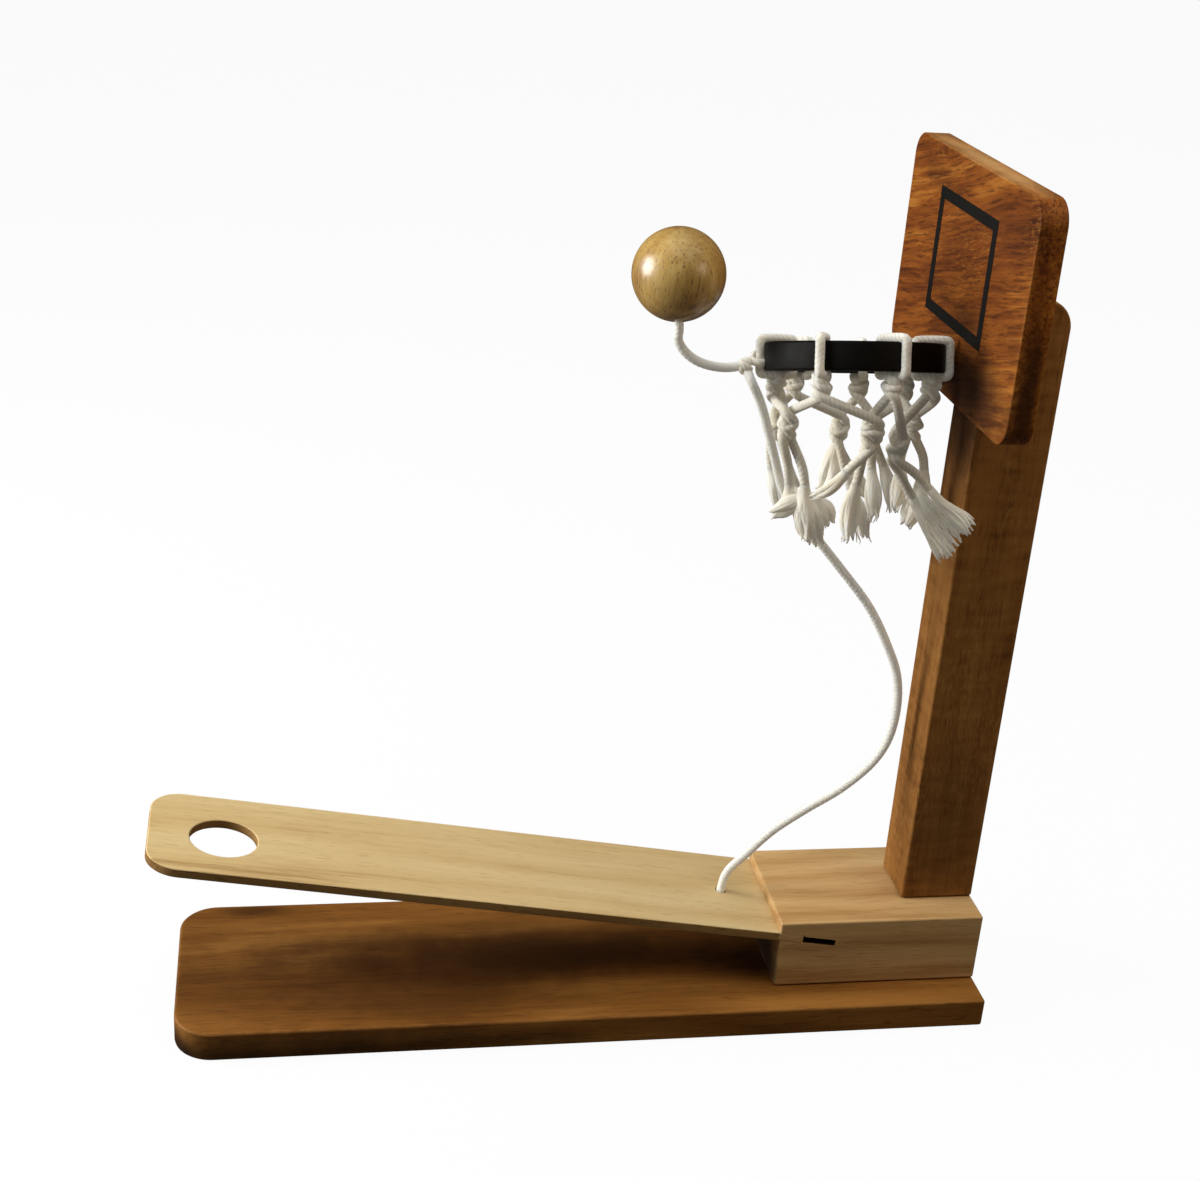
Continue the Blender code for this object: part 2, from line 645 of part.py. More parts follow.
def build_tether(arm_pivot):
    hitch = hitch_point()
    print("hitch at (%.6f, %.6f, %.6f)" % tuple(hitch))
    segments = 12
    arc = [math.pi * step / segments for step in range(segments + 1)]
    profile = [(HITCH_RADIUS * math.sin(a), HITCH_RADIUS * math.cos(a)) for a in arc]
    profile[0] = (0, HITCH_RADIUS)
    profile[-1] = (0, -HITCH_RADIUS)
    solid("tether_hitch", turned(profile, 16, Matrix.Translation(hitch)), "cotton_cord",
          smooth_angle=math.radians(60))

    swing = bpy.data.objects.new("ball_swing_axis", None)
    bpy.context.collection.objects.link(swing)
    swing.location = hitch
    reach = HITCH_RADIUS + GAP
    ball_route = [Vector((x, SWING_PLANE, z)) for x, z in BALL_CORD_ROUTE]
    centre = Vector((BALL_OFFSET[0], SWING_PLANE, BALL_OFFSET[1]))
    first, last = ball_route[0], ball_route[-1]
    bore_axis = (first - centre).normalized()
    bore_end = centre + bore_axis * (BALL_DIAMETER / 2 - BALL_BORE_DEPTH)
    mouth = centre + bore_axis * BALL_DIAMETER / 2
    tied_end = Vector((last.x, 0, last.z)).normalized() * reach + Vector((0, SWING_PLANE, 0))
    ball_cord = even_points([bore_end, mouth] + ball_route + [tied_end], BALL_CORD_POINT_SPACING)
    add_cord("tether_ball_end", ball_cord, 2, parent=swing)

    radius = BALL_DIAMETER / 2
    segments = 20
    arc = [math.pi * step / segments for step in range(segments + 1)]
    profile = [(radius * math.sin(a), radius * math.cos(a)) for a in arc]
    profile[0] = (0, radius)
    profile[-1] = (0, -radius)
    turn = Vector((0, 0, 1)).rotation_difference(bore_axis).to_matrix().to_4x4()
    axes = Matrix.Translation(centre) @ turn
    ball = solid("ball", turned(profile, 32, axes), "ball_wood", swing, math.radians(40))
    bore = drill_bit(CORD_OFFSET, radius - BALL_BORE_DEPTH - GAP, 2 * radius, 12, axes)
    cut(ball, cutter("ball_bore", bore, swing))

    to_arm = Matrix.Translation(ARM_PIVOT) @ Matrix.Rotation(ARM_SLOPE, 4, "Y")
    half = ARM_THICKNESS / 2
    stub_top = to_arm @ Vector((-CORD_HOLE_DISTANCE, 0, half + STUB_RISE + GAP))
    lead_in = to_arm @ Vector((-CORD_HOLE_DISTANCE, 0, half + STUB_RISE + CORD_DIAMETER))
    start = hitch + (Vector(TETHER_ROUTE[0]) - hitch).normalized() * reach
    main_route = [start] + [Vector(point) for point in TETHER_ROUTE] + [lead_in, stub_top]
    main_cord = even_points(main_route, TETHER_POINT_SPACING)
    add_cord("tether_main", main_cord, 2, origin=hitch)

    under = -half - GAP
    profile = (
        (0, half + STUB_RISE),
        (CORD_RADIUS, half + STUB_RISE),
        (CORD_RADIUS, under),
        (KNOT_RADIUS * 0.75, under - KNOT_HEIGHT * 0.06),
        (KNOT_RADIUS, under - KNOT_HEIGHT * 0.35),
        (KNOT_RADIUS * 0.95, under - KNOT_HEIGHT * 0.65),
        (KNOT_RADIUS * 0.6, under - KNOT_HEIGHT * 0.93),
        (0, under - KNOT_HEIGHT),
    )
    eye = Matrix.Translation((-CORD_HOLE_DISTANCE, 0, 0))
    solid("tether_knot", turned(profile, 12, eye), "cotton_cord", arm_pivot, math.radians(60))
    through = STUB_RISE + ARM_THICKNESS + KNOT_HEIGHT
    total = route_length(ball_cord) + 2 * HITCH_RADIUS + route_length(main_cord) + through
    print("tether: %.1f mm of cord from the ball to the knot" % (total * 1000))


def main():
    clear_scene()
    pivot = bpy.data.objects.new("arm_bending_line", None)
    bpy.context.collection.objects.link(pivot)
    pivot.location = ARM_PIVOT
    pivot.rotation_euler.y = ARM_SLOPE
    screw_holes = build_screws()
    post_holes = post_dowels()
    board_holes = board_dowels()
    peg_hole = peg_hole_cutter()
    build_base(screw_holes)
    build_block(pivot, screw_holes, post_holes)
    build_arm(pivot)
    build_post(post_holes + board_holes)
    build_backboard(board_holes + [peg_hole])
    build_hoop(peg_hole)
    build_net()
    build_tether(pivot)


main()
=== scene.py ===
# %% [markdown]
# # A wooden tabletop basketball game
# A springy slat in a slotted block flicks a ball on a cord at a small hoop.
# The CAD model is loaded first and stays as it is: it says where every piece goes.
# This lesson then dresses it, piece by piece, in wood, paint and twisted cotton.

# %% The frame
import math
import random

import bmesh
import bpy
from mathutils import Matrix, Vector


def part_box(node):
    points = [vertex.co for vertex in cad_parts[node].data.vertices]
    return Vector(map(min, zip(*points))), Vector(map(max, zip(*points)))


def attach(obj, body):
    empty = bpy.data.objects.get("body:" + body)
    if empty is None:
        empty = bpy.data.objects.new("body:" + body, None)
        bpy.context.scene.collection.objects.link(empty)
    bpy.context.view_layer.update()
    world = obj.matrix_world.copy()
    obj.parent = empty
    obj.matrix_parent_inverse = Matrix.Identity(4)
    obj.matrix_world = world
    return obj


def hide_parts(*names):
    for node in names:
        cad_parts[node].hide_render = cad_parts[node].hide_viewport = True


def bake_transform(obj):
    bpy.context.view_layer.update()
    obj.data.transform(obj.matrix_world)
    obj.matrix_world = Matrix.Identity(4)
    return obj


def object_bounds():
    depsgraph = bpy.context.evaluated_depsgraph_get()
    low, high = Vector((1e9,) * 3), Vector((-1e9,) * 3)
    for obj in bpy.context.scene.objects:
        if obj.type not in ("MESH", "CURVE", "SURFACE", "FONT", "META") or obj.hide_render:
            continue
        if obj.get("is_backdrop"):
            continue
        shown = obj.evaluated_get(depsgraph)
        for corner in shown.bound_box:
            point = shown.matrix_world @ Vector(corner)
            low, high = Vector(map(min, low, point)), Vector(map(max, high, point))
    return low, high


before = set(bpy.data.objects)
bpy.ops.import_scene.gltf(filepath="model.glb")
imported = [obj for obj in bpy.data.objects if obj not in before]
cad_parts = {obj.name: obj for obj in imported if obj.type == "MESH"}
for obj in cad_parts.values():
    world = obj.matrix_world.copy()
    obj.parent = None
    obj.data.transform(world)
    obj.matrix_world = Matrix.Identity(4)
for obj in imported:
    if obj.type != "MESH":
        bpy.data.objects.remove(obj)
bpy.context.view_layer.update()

# %% [markdown]
# ## The camera
# The photograph was matched once: the place of the lens, the way it points and its slight roll.
# A camera object looks along its own -Z, so its axes are put together from those angles.
# Building the matrix from three directions avoids guessing at Euler angles.

# %% Camera
CAMERA_PLACE = (-0.10789, -0.54264, 0.39623)
CAMERA_YAW = math.radians(11.04)
CAMERA_PITCH = math.radians(-23.76)
CAMERA_ROLL = math.radians(4.32)
CAMERA_LENS = 55.515
SENSOR_WIDTH = 36.0


def make_camera():
    ahead = Vector((
        math.sin(CAMERA_YAW) * math.cos(CAMERA_PITCH),
        math.cos(CAMERA_YAW) * math.cos(CAMERA_PITCH),
        math.sin(CAMERA_PITCH),
    ))
    level = Vector((math.cos(CAMERA_YAW), -math.sin(CAMERA_YAW), 0))
    upright = level.cross(ahead)
    right = level * math.cos(CAMERA_ROLL) + upright * math.sin(CAMERA_ROLL)
    up = upright * math.cos(CAMERA_ROLL) - level * math.sin(CAMERA_ROLL)
    data = bpy.data.cameras.new("camera")
    data.lens = CAMERA_LENS
    data.sensor_width = SENSOR_WIDTH
    data.clip_start, data.clip_end = 0.01, 50
    camera = bpy.data.objects.new("camera", data)
    turn = Matrix((right, up, -ahead)).transposed().to_4x4()
    camera.matrix_world = Matrix.Translation(CAMERA_PLACE) @ turn
    bpy.context.scene.collection.objects.link(camera)
    bpy.context.scene.camera = camera
    return camera


camera = make_camera()
print("camera at", tuple(round(x, 3) for x in camera.location))

# %% [markdown]
# ## Writing finishes as sums
# A finish is a tree of shader nodes. Wiring dozens of Math nodes one by one hides the idea,
# so a small class wraps an output socket and lets Python's own operators add those nodes.

# %% Wires
def linear(red, green, blue):
    """A colour read on the 0 to 255 scale, as the linear light that shaders use."""
    def decode(level):
        level /= 255
        return level / 12.92 if level <= 0.04045 else ((level + 0.055) / 1.055) ** 2.4
    return (decode(red), decode(green), decode(blue), 1.0)


def connect(entry, value):
    """Link a wire to a socket, or write a plain value on it."""
    if isinstance(value, Wire):
        entry.id_data.links.new(value.socket, entry)
    else:
        entry.default_value = value


class Wire:
    """An output socket that works in sums like a number."""

    def __init__(self, socket):
        self.socket = socket

    def math(self, operation, *others, before=()):
        """A Math node on this wire, with other values before or after it."""
        node = self.socket.id_data.nodes.new("ShaderNodeMath")
        node.operation = operation
        for entry, value in zip(node.inputs, (*before, self, *others)):
            connect(entry, value)
        return Wire(node.outputs[0])

    def __add__(self, other):
        return self.math("ADD", other)

    def __sub__(self, other):
        return self.math("SUBTRACT", other)

    def __rsub__(self, other):
        return self.math("SUBTRACT", before=(other,))

    def __mul__(self, other):
        return self.math("MULTIPLY", other)

    def __truediv__(self, other):
        return self.math("DIVIDE", other)

    def __pow__(self, other):
        return self.math("POWER", other)

    __radd__ = __add__
    __rmul__ = __mul__


print("wires ready")

# %% [markdown]
# ## A finish under construction
# Nodes of every other kind go through one method: the type, its settings, then its sockets.
# A tree could also be drawn by hand in the shader editor; written down, a recipe can be used
# again with other numbers, as the woods below do. Short methods stand for the usual nodes.

# %% Finish helpers
class Finish:
    """A material under construction, with its principled shader at hand."""

    def __init__(self, name):
        self.material = bpy.data.materials.new(name)
        self.material.use_nodes = True
        self.tree = self.material.node_tree
        self.shader = self.tree.nodes["Principled BSDF"]

    def add(self, kind, settings=None, sockets=None, output=0):
        node = self.tree.nodes.new("ShaderNode" + kind)
        for key, value in (settings or {}).items():
            if key == "stops":
                self.set_stops(node.color_ramp, value)
            else:
                setattr(node, key, value)
        for key, value in (sockets or {}).items():
            connect(node.inputs[key], value)
        return Wire(node.outputs[output])

    def set_stops(self, ramp, stops):
        while len(ramp.elements) < len(stops):
            ramp.elements.new(1.0)
        for element, (place, colour) in zip(ramp.elements, stops):
            element.position = place
            element.color = colour

    def shade(self, **sockets):
        """Set the principled shader's sockets; Base_Color stands for Base Color."""
        for key, value in sockets.items():
            connect(self.shader.inputs[key.replace("_", " ")], value)

    def placed(self, turn=(0, 0, 0), shift=(0, 0, 0)):
        """Object coordinates, turned and then shifted."""
        place = self.add("TexCoord", output="Object")
        return self.add("Mapping", None, {"Vector": place, "Rotation": turn, "Location": shift})

    def vector(self, operation, *values, output=0):
        """A Vector Math node on the values, in their order."""
        return self.add("VectorMath", {"operation": operation}, dict(enumerate(values)), output)

    def parts(self, vector):
        """The X, Y and Z of a vector, each as a wire."""
        split = self.add("SeparateXYZ", None, {0: vector}).socket.node
        return [Wire(output) for output in split.outputs]

    def noise(self, place, stretch, detail=2.0, roughness=0.5, output=0):
        """Noise with its own number of waves per metre along each axis."""
        scaled = self.vector("MULTIPLY", place, stretch)
        sockets = {"Vector": scaled, "Scale": 1.0, "Detail": detail, "Roughness": roughness}
        return self.add("TexNoise", None, sockets, output)

    def step(self, value, low, high):
        """0 below low, 1 above high, smooth between them; low may be the higher one."""
        sockets = {"Value": value, "From Min": low, "From Max": high}
        return self.add("MapRange", {"interpolation_type": "SMOOTHSTEP"}, sockets)

    def mix(self, share, first, second):
        """A blend of two colours, by the colour sockets of a Mix node."""
        return self.add("Mix", {"data_type": "RGBA"}, {0: share, 6: first, 7: second}, 2)

    def bump(self, height, distance, strength=1.0):
        sockets = {"Height": height, "Distance": distance, "Strength": strength}
        return self.add("Bump", None, sockets)


print("finish helpers ready")

# %% [markdown]
# ## Cotton for the cords
# The cord is soft white cotton, three plies twisted together. The plies are real geometry,
# so the finish only adds what is smaller: the fine yarns that run round each ply, painted shade
# in the creases and between the yarns, and a little fuzz. Cotton also lets light through, so it
# scatters below its surface, and a very faint glow stands in for the light that wanders on from
# fibre to fibre, which a renderer gives up after a few steps. Just under the ring the cotton is
# a little greyer: painted shadow of the ring. The tether is smoother and more bleached than the
# net.
# The finish reads the cord's own UV map, because the yarns follow the cord wherever it bends:
# U runs round it and V along it, in turns of the lay.

# %% Cotton finish
PLIES = 3
YARNS_ROUND = 15
YARNS_PER_LAY = 5
RING_SHADOW_LOW, RING_SHADOW_HIGH, RING_SHADOW_FADE = 0.196, 0.222, 0.010
CLEAN, AGED, RING_SHADOW_TONE = linear(247, 244, 233), linear(238, 232, 216), linear(196, 184, 154)
IN_CREASES, SHADE_BETWEEN_YARNS = linear(176, 166, 142), linear(160, 150, 126)
FUZZ, BLEACHED = linear(248, 246, 238), linear(231, 230, 223)


def cotton(name, glow, ply_shade=0.0, scatter=0.9, scatter_depth=0.0014, bleached=0.0):
    finish = Finish(name)
    lay, along, _ = finish.parts(finish.add("UVMap", {"uv_map": "lay"}))
    place = finish.placed()
    wander = finish.noise(place, (700, 700, 700), 2)
    phase = lay * YARNS_ROUND + along * YARNS_PER_LAY + wander * 1.1
    yarn = (phase * math.tau).math("SINE") * 0.5 + 0.5
    crease = (lay * (PLIES * math.tau)).math("COSINE") * -0.5 + 0.5
    fuzz = finish.noise(place, (2600, 2600, 2600), 3, 0.6)
    soil = finish.noise(place, (55, 55, 55), 3, 0.6)
    pale = finish.mix(finish.step(soil, 0.35, 0.7), CLEAN, AGED)
    height = finish.parts(place)[2]
    # Painted shadow of the ring: greyer cotton in a band of height just under it.
    ring_shadow = finish.step(height, RING_SHADOW_LOW - RING_SHADOW_FADE, RING_SHADOW_LOW)
    ring_shadow = ring_shadow * finish.step(height, RING_SHADOW_HIGH + RING_SHADOW_FADE, RING_SHADOW_HIGH)
    pale = finish.mix(ring_shadow * (soil * 0.5 + 0.15), pale, RING_SHADOW_TONE)
    # Painted shade: darker in the creases between the plies and between the yarns.
    shaded = finish.mix(crease ** 3 * ply_shade, pale, IN_CREASES)
    shaded = finish.mix((1 - yarn) * 0.08, shaded, SHADE_BETWEEN_YARNS)
    colour = finish.mix(finish.step(fuzz, 0.6, 0.8) * 0.25, shaded, FUZZ)
    colour = finish.mix(bleached, colour, BLEACHED)
    finish.shade(
        Base_Color=colour,
        Emission_Color=colour,
        Emission_Strength=glow,
        Roughness=fuzz * 0.1 + 0.85,
        Normal=finish.bump(yarn * 0.4 + fuzz * 0.6, 0.00015, 0.7),
        Sheen_Weight=0.25,
        Sheen_Roughness=0.5,
        Specular_IOR_Level=0.2,
        Subsurface_Weight=scatter,
        Subsurface_Radius=(1.0, 0.92, 0.80),
        Subsurface_Scale=scatter_depth,
    )
    return finish.material


cord_cotton = cotton("twisted_cotton", glow=0.06, ply_shade=0.30)
lock_cotton = cotton("combed_cotton", glow=0.07)
yarn_cotton = cotton("loose_cotton_yarn", glow=0.12, scatter=0.5, scatter_depth=0.0002)
tether_cotton = cotton("smooth_cotton", glow=0.13, ply_shade=0.20, bleached=0.7)
print("cotton:", cord_cotton.name, lock_cotton.name, yarn_cotton.name, tether_cotton.name)

# %% [markdown]
# ## Routes for the cords
# The cords lie where the CAD model has them, so its routes are repeated here: the loops over
# the ring, the knots beneath it, the second row of knots and the tails. Its solids must not
# touch; soft cotton may, so here the loops press on the ring and the knots are pulled tight.
# A centripetal Catmull-Rom curve passes through every point of a route without overshooting,
# and walking along it at even steps gives the rings of a tube.

# %% Routes
RING_STEP = 0.0004


def smooth_route(route, steps=16):
    """Centripetal Catmull-Rom curve through the route's points, densely sampled."""
    points = [Vector(point) for point in route]
    points = [2 * points[0] - points[1]] + points + [2 * points[-1] - points[-2]]
    curve = []
    for p0, p1, p2, p3 in zip(points, points[1:], points[2:], points[3:]):
        t1 = math.sqrt((p1 - p0).length)
        t2 = t1 + math.sqrt((p2 - p1).length)
        t3 = t2 + math.sqrt((p3 - p2).length)
        for step in range(steps):
            t = t1 + (t2 - t1) * step / steps
            a1 = p0.lerp(p1, t / t1)
            a2 = p1.lerp(p2, (t - t1) / (t2 - t1))
            a3 = p2.lerp(p3, (t - t2) / (t3 - t2))
            b1 = a1.lerp(a2, t / t2)
            b2 = a2.lerp(a3, (t - t1) / (t3 - t1))
            curve.append(b1.lerp(b2, (t - t1) / (t2 - t1)))
    return curve + [points[-2]]


def route_length(points):
    return sum((b - a).length for a, b in zip(points, points[1:]))


def even_points(curve, spacing):
    """Points at an even spacing along a dense curve."""
    total = route_length(curve)
    count = max(2, round(total / spacing))
    step = total / count
    points = [curve[0]]
    walked = 0.0
    for a, b in zip(curve, curve[1:]):
        length = (b - a).length
        while len(points) < count and walked + length >= step * len(points):
            points.append(a.lerp(b, (step * len(points) - walked) / length))
        walked += length
    return points + [curve[-1]]


print("ring step", RING_STEP * 1000, "mm")

# %% [markdown]
# ## Tubes with twisted plies
# A bevelled curve gives a plain round tube. Here each ring of the tube has three lobes, and
# every ring is turned a little further than the last, so the lobes wind round the cord as
# plies do. The rings are carried along the route without spinning (parallel transport).

# %% Tube builder
LAY_LENGTH = 0.0048
POINTS_ROUND = 18
CREASE_DEPTH, CREASE_SHARPNESS = 0.055, 2.5


def carried_frames(points):
    """Two cross directions for each point, carried along the route without spin."""
    tangents = []
    for index in range(len(points)):
        before, after = points[max(index - 1, 0)], points[min(index + 1, len(points) - 1)]
        tangents.append((after - before).normalized())
    side = tangents[0].orthogonal().normalized()
    frames = []
    for tangent in tangents:
        side = (side - tangent * side.dot(tangent)).normalized()
        frames.append((side, tangent.cross(side)))
    return frames


def ply_profile():
    """How far each point of a ring stands out, as a share of the cord's radius."""
    profile = []
    for index in range(POINTS_ROUND):
        place = (PLIES * index / POINTS_ROUND) % 1
        profile.append(1 - CREASE_DEPTH * abs(2 * place - 1) ** CREASE_SHARPNESS)
    return profile[-1:] + profile[:-1]


PLY_PROFILE = ply_profile()
print("ply profile from", round(min(PLY_PROFILE), 2), "to", max(PLY_PROFILE))

# %% [markdown]
# ## Strands
# One cord is many tubes: its plies, its tufts, its wisps. Dozens of objects could be joined
# afterwards, but it is simpler to collect points and faces first and make one mesh of them.
# Each face also gets its place on a UV map that follows its tube.

# %% Strands
class Strands:
    """Collects tubes into one mesh, with a UV map that follows each of them."""

    def __init__(self):
        self.points, self.faces, self.uvs, self.kinds = [], [], [], []

    def add(self, points, radii, profile, lay=None, kind=0):
        """A closed tube along the points; lay is the length of one turn of its plies."""
        rings, turns, walked = [], [], 0.0
        rows = zip(points, radii, carried_frames(points))
        for index, (point, radius, (side, across)) in enumerate(rows):
            walked += (point - points[index - 1]).length if index else 0.0
            turns.append(walked / (lay or LAY_LENGTH))
            spin = math.tau * walked / lay if lay else 0.0
            ring = []
            for corner, share in enumerate(profile):
                angle = spin + math.tau * corner / len(profile)
                out = side * math.cos(angle) + across * math.sin(angle)
                ring.append(point + out * radius * share)
            rings.append(ring)
        self.skin(rings, turns, kind)

    def rope(self, points, radius):
        """A tube of twisted plies, of one thickness all along."""
        self.add(points, [radius] * len(points), PLY_PROFILE, LAY_LENGTH)

    def skin(self, rings, turns, kind):
        """A closed skin over rings of points; turns are the rings' places along the UV map."""
        first, sides = len(self.points), len(rings[0])
        for ring in rings:
            self.points.extend(ring)
        for ring in range(len(rings) - 1):
            low, high = first + ring * sides, first + (ring + 1) * sides
            v0, v1 = turns[ring], turns[ring + 1]
            for corner in range(sides):
                following = (corner + 1) % sides
                self.faces.append((low + corner, low + following, high + following, high + corner))
                u0, u1 = corner / sides, (corner + 1) / sides
                self.uvs.append(((u0, v0), (u1, v0), (u1, v1), (u0, v1)))
                self.kinds.append(kind)
        for ring, order in ((0, -1), (len(rings) - 1, 1)):
            self.faces.append([first + ring * sides + corner for corner in range(sides)][::order])
            self.uvs.append([(0.0, turns[ring])] * sides)
            self.kinds.append(kind)

    def piece(self, name, *finishes):
        """The finished object; a tube's kind is the number of its finish."""
        mesh = bpy.data.meshes.new(name)
        mesh.from_pydata([tuple(point) for point in self.points], [], self.faces)
        layer = mesh.uv_layers.new(name="lay")
        flat = [number for face in self.uvs for corner in face for number in corner]
        layer.data.foreach_set("uv", flat)
        for finish in finishes:
            mesh.materials.append(finish)
        mesh.polygons.foreach_set("material_index", self.kinds)
        mesh.polygons.foreach_set("use_smooth", [True] * len(self.faces))
        mesh.update()
        made = bpy.data.objects.new(name, mesh)
        bpy.context.scene.collection.objects.link(made)
        return made


print("strands ready")

# %% [markdown]
# ## The net's measures
# Seven cords are folded over the ring. Each one's two legs twist round each other under the
# ring, part, and twist with a leg of the neighbouring cord; then they hang as loose tails.
# Angles round the ring say where the loops and knots are, and three points give each tail.

# %% Net measures
PRESSED = 0.0010
TWIST_RADIUS = 0.0016
HOOP_CENTRE = Vector((0.0739, 0, 0.2332))
HOOP_RADIUS = 0.0286
HOOP_WALL = 0.0085
HOOP_HEIGHT = 0.0091
HOOP_ROLL = math.radians(18.0)
NET_LOOP_ANGLES = (30, 68, 124, 168, 229, 281, 337)
NET_KNOT_HEIGHT = 0.0065
NET_KNOT_TURN = math.radians(270)
NET_ROW_ANGLES = (48, 78, 148, 199, 272, 298, 4)
NET_ROW_DROPS = (0.0190, 0.0185, 0.0180, 0.0175, 0.0200, 0.0245, 0.0175)
NET_NARROWING = 0.0015
NET_TWIST_HEIGHT = 0.0090
NET_TWIST_TURN = math.radians(360)
TWIST_STEP = math.pi / 4
BRIDGE_STEPS, NET_STEPS = 4, 6

# The two tails below each knot of the second row, in the order of the knots
NET_TAILS = (
    (((0.0950, 0.0170, 0.1900), (0.0980, 0.0160, 0.1820), (0.1000, 0.0150, 0.1740)),
     ((0.0895, 0.0130, 0.1900), (0.0905, 0.0105, 0.1815), (0.0915, 0.0085, 0.1730))),
    (((0.0850, 0.0225, 0.1880), (0.0900, 0.0215, 0.1810), (0.0945, 0.0200, 0.1770)),
     ((0.0820, 0.0170, 0.1880), (0.0870, 0.0150, 0.1760), (0.0915, 0.0140, 0.1640))),
    (((0.0550, 0.0140, 0.1920), (0.0580, 0.0135, 0.1820), (0.0605, 0.0130, 0.1740)),
     ((0.0600, 0.0100, 0.1920), (0.0670, 0.0090, 0.1790), (0.0730, 0.0085, 0.1680))),
    (((0.0545, -0.0075, 0.1980), (0.0557, -0.0055, 0.1865), (0.0505, -0.0045, 0.1805)),
     ((0.0585, -0.0100, 0.1990), (0.0605, -0.0110, 0.1865), (0.0620, -0.0120, 0.1745))),
    (((0.0695, -0.0245, 0.2056), (0.0637, -0.0235, 0.1979), (0.0585, -0.0205, 0.1931)),
     ((0.0739, -0.0195, 0.2020), (0.0727, -0.0195, 0.1894), (0.0736, -0.0200, 0.1765))),
    (((0.0920, -0.0205, 0.2020), (0.1020, -0.0205, 0.1920), (0.1140, -0.0195, 0.1830)),
     ((0.0880, -0.0160, 0.2010), (0.0965, -0.0160, 0.1880), (0.1085, -0.0170, 0.1715))),
    (((0.1025, 0.0020, 0.1990), (0.1038, 0.0025, 0.1890), (0.1016, 0.0020, 0.1785)),
     ((0.0948, 0.0020, 0.1990), (0.0958, 0.0020, 0.1900), (0.0945, 0.0010, 0.1800))),
)
print("loops over the ring:", len(NET_LOOP_ANGLES))

# %% [markdown]
# ## The net's routes
# The ring has rolled on its peg, so the loops are placed along the ring's own directions.
# Curves drawn by hand would leave gaps in the knots, so turns and heights are worked out: two
# strands half a turn apart always touch. Short bridges join knot to knot in one route.

# %% Net routes
def hoop_axes(angle):
    """The rolled ring's outward, sideways and upward directions at an angle."""
    along = Vector((1, 0, 0))
    across = Vector((0, math.cos(HOOP_ROLL), -math.sin(HOOP_ROLL)))
    upward = Vector((0, math.sin(HOOP_ROLL), math.cos(HOOP_ROLL)))
    outward = along * math.cos(angle) + across * math.sin(angle)
    sideways = across * math.cos(angle) - along * math.sin(angle)
    return outward, sideways, upward


def on_hoop(angle, radius, sideways_offset, height):
    """A point beside the ring, in the ring's own directions."""
    outward, sideways, upward = hoop_axes(angle)
    return HOOP_CENTRE + outward * radius + sideways * sideways_offset + upward * height


def wrap_points(angle):
    """A loop over the ring's wall, from outside underneath to inside underneath."""
    outer, inner = HOOP_RADIUS, HOOP_RADIUS - HOOP_WALL
    half, step = HOOP_HEIGHT / 2, PRESSED
    corner = step * math.cos(math.pi / 4)
    profile = (
        (outer, -half - step, 1),
        (outer + corner, -half - corner, 1),
        (outer + step, -half, 1),
        (outer + step, 0, 1),
        (outer + step, half, 1),
        (outer + corner, half + corner, 0.9),
        (outer, half + step, 0.6),
        (inner, half + step, -0.6),
        (inner - corner, half + corner, -0.9),
        (inner - step, half, -1),
        (inner - step, 0, -1),
        (inner - step, -half, -1),
        (inner - corner, -half - corner, -1),
        (inner, -half - step, -1),
    )
    return [on_hoop(angle, radius, side * TWIST_RADIUS, height) for radius, height, side in profile]


def twist(top, axes, height, start, turn):
    """One strand of a two-strand twist, from the top down."""
    outward, sideways, upward = axes
    steps = round(turn / TWIST_STEP)
    points = []
    for step in range(steps + 1):
        angle = start + turn * step / steps
        offset = outward * math.cos(angle) + sideways * math.sin(angle)
        points.append(top + offset * TWIST_RADIUS - upward * height * step / steps)
    return points


def ring_knot(index):
    """Top and axes of the knot that a loop's two legs make under the ring."""
    angle = math.radians(NET_LOOP_ANGLES[index])
    top = on_hoop(angle, HOOP_RADIUS - HOOP_WALL / 2, 0, -HOOP_HEIGHT / 2 - PRESSED)
    return top, hoop_axes(angle)


def row_knot(row):
    """Top and axes of the knot between a loop and the next one, in the second row."""
    angle = math.radians(NET_ROW_ANGLES[row])
    outward = Vector((math.cos(angle), math.sin(angle), 0))
    sideways = Vector((-math.sin(angle), math.cos(angle), 0))
    upward = Vector((0, 0, 1))
    top = on_hoop(angle, HOOP_RADIUS - HOOP_WALL / 2, 0, -HOOP_HEIGHT / 2) - outward * NET_NARROWING
    top -= upward * (NET_ROW_DROPS[row] - NET_TWIST_HEIGHT / 2)
    return top, (outward, sideways, upward)


def loop_leg(index, side):
    """One leg of a loop from its knot down; side is 1 towards the next loop, or else -1."""
    top, axes = ring_knot(index)
    knot = twist(top, axes, NET_KNOT_HEIGHT, side * math.pi / 2, NET_KNOT_TURN)
    row = index if side > 0 else index - 1
    top, axes = row_knot(row)
    pair = twist(top, axes, NET_TWIST_HEIGHT, 0.0 if side > 0 else math.pi, NET_TWIST_TURN)

    bridge = smooth_route(knot[-2:] + pair[:2], BRIDGE_STEPS)[BRIDGE_STEPS + 1:2 * BRIDGE_STEPS]
    tail = list(NET_TAILS[row][0 if side > 0 else 1])
    tail = smooth_route(pair[-2:] + tail, BRIDGE_STEPS)[BRIDGE_STEPS + 1:]
    return knot + bridge + pair + tail


def net_route(index):
    angle = math.radians(NET_LOOP_ANGLES[index])
    points = loop_leg(index, 1)[::-1] + wrap_points(angle) + loop_leg(index, -1)
    return even_points(smooth_route(points, NET_STEPS), RING_STEP)


net_routes = [net_route(index) for index in range(len(NET_LOOP_ANGLES))]
print("net cords, mm:", [round(route_length(route) * 1000) for route in net_routes])

# %% [markdown]
# ## Frayed ends
# Every tail has come apart into a soft tuft. Dozens of separate yarns would look like a mop;
# in the photograph the cotton has felted together. So a tuft is one closed skin, lofted along
# the tail: it swells from the cord's width, is grooved into a few locks and finely combed, and
# each lock runs out to a point of its own. The skin then turns in on itself, like a bell.
# A seeded generator gives the same tuft each run.

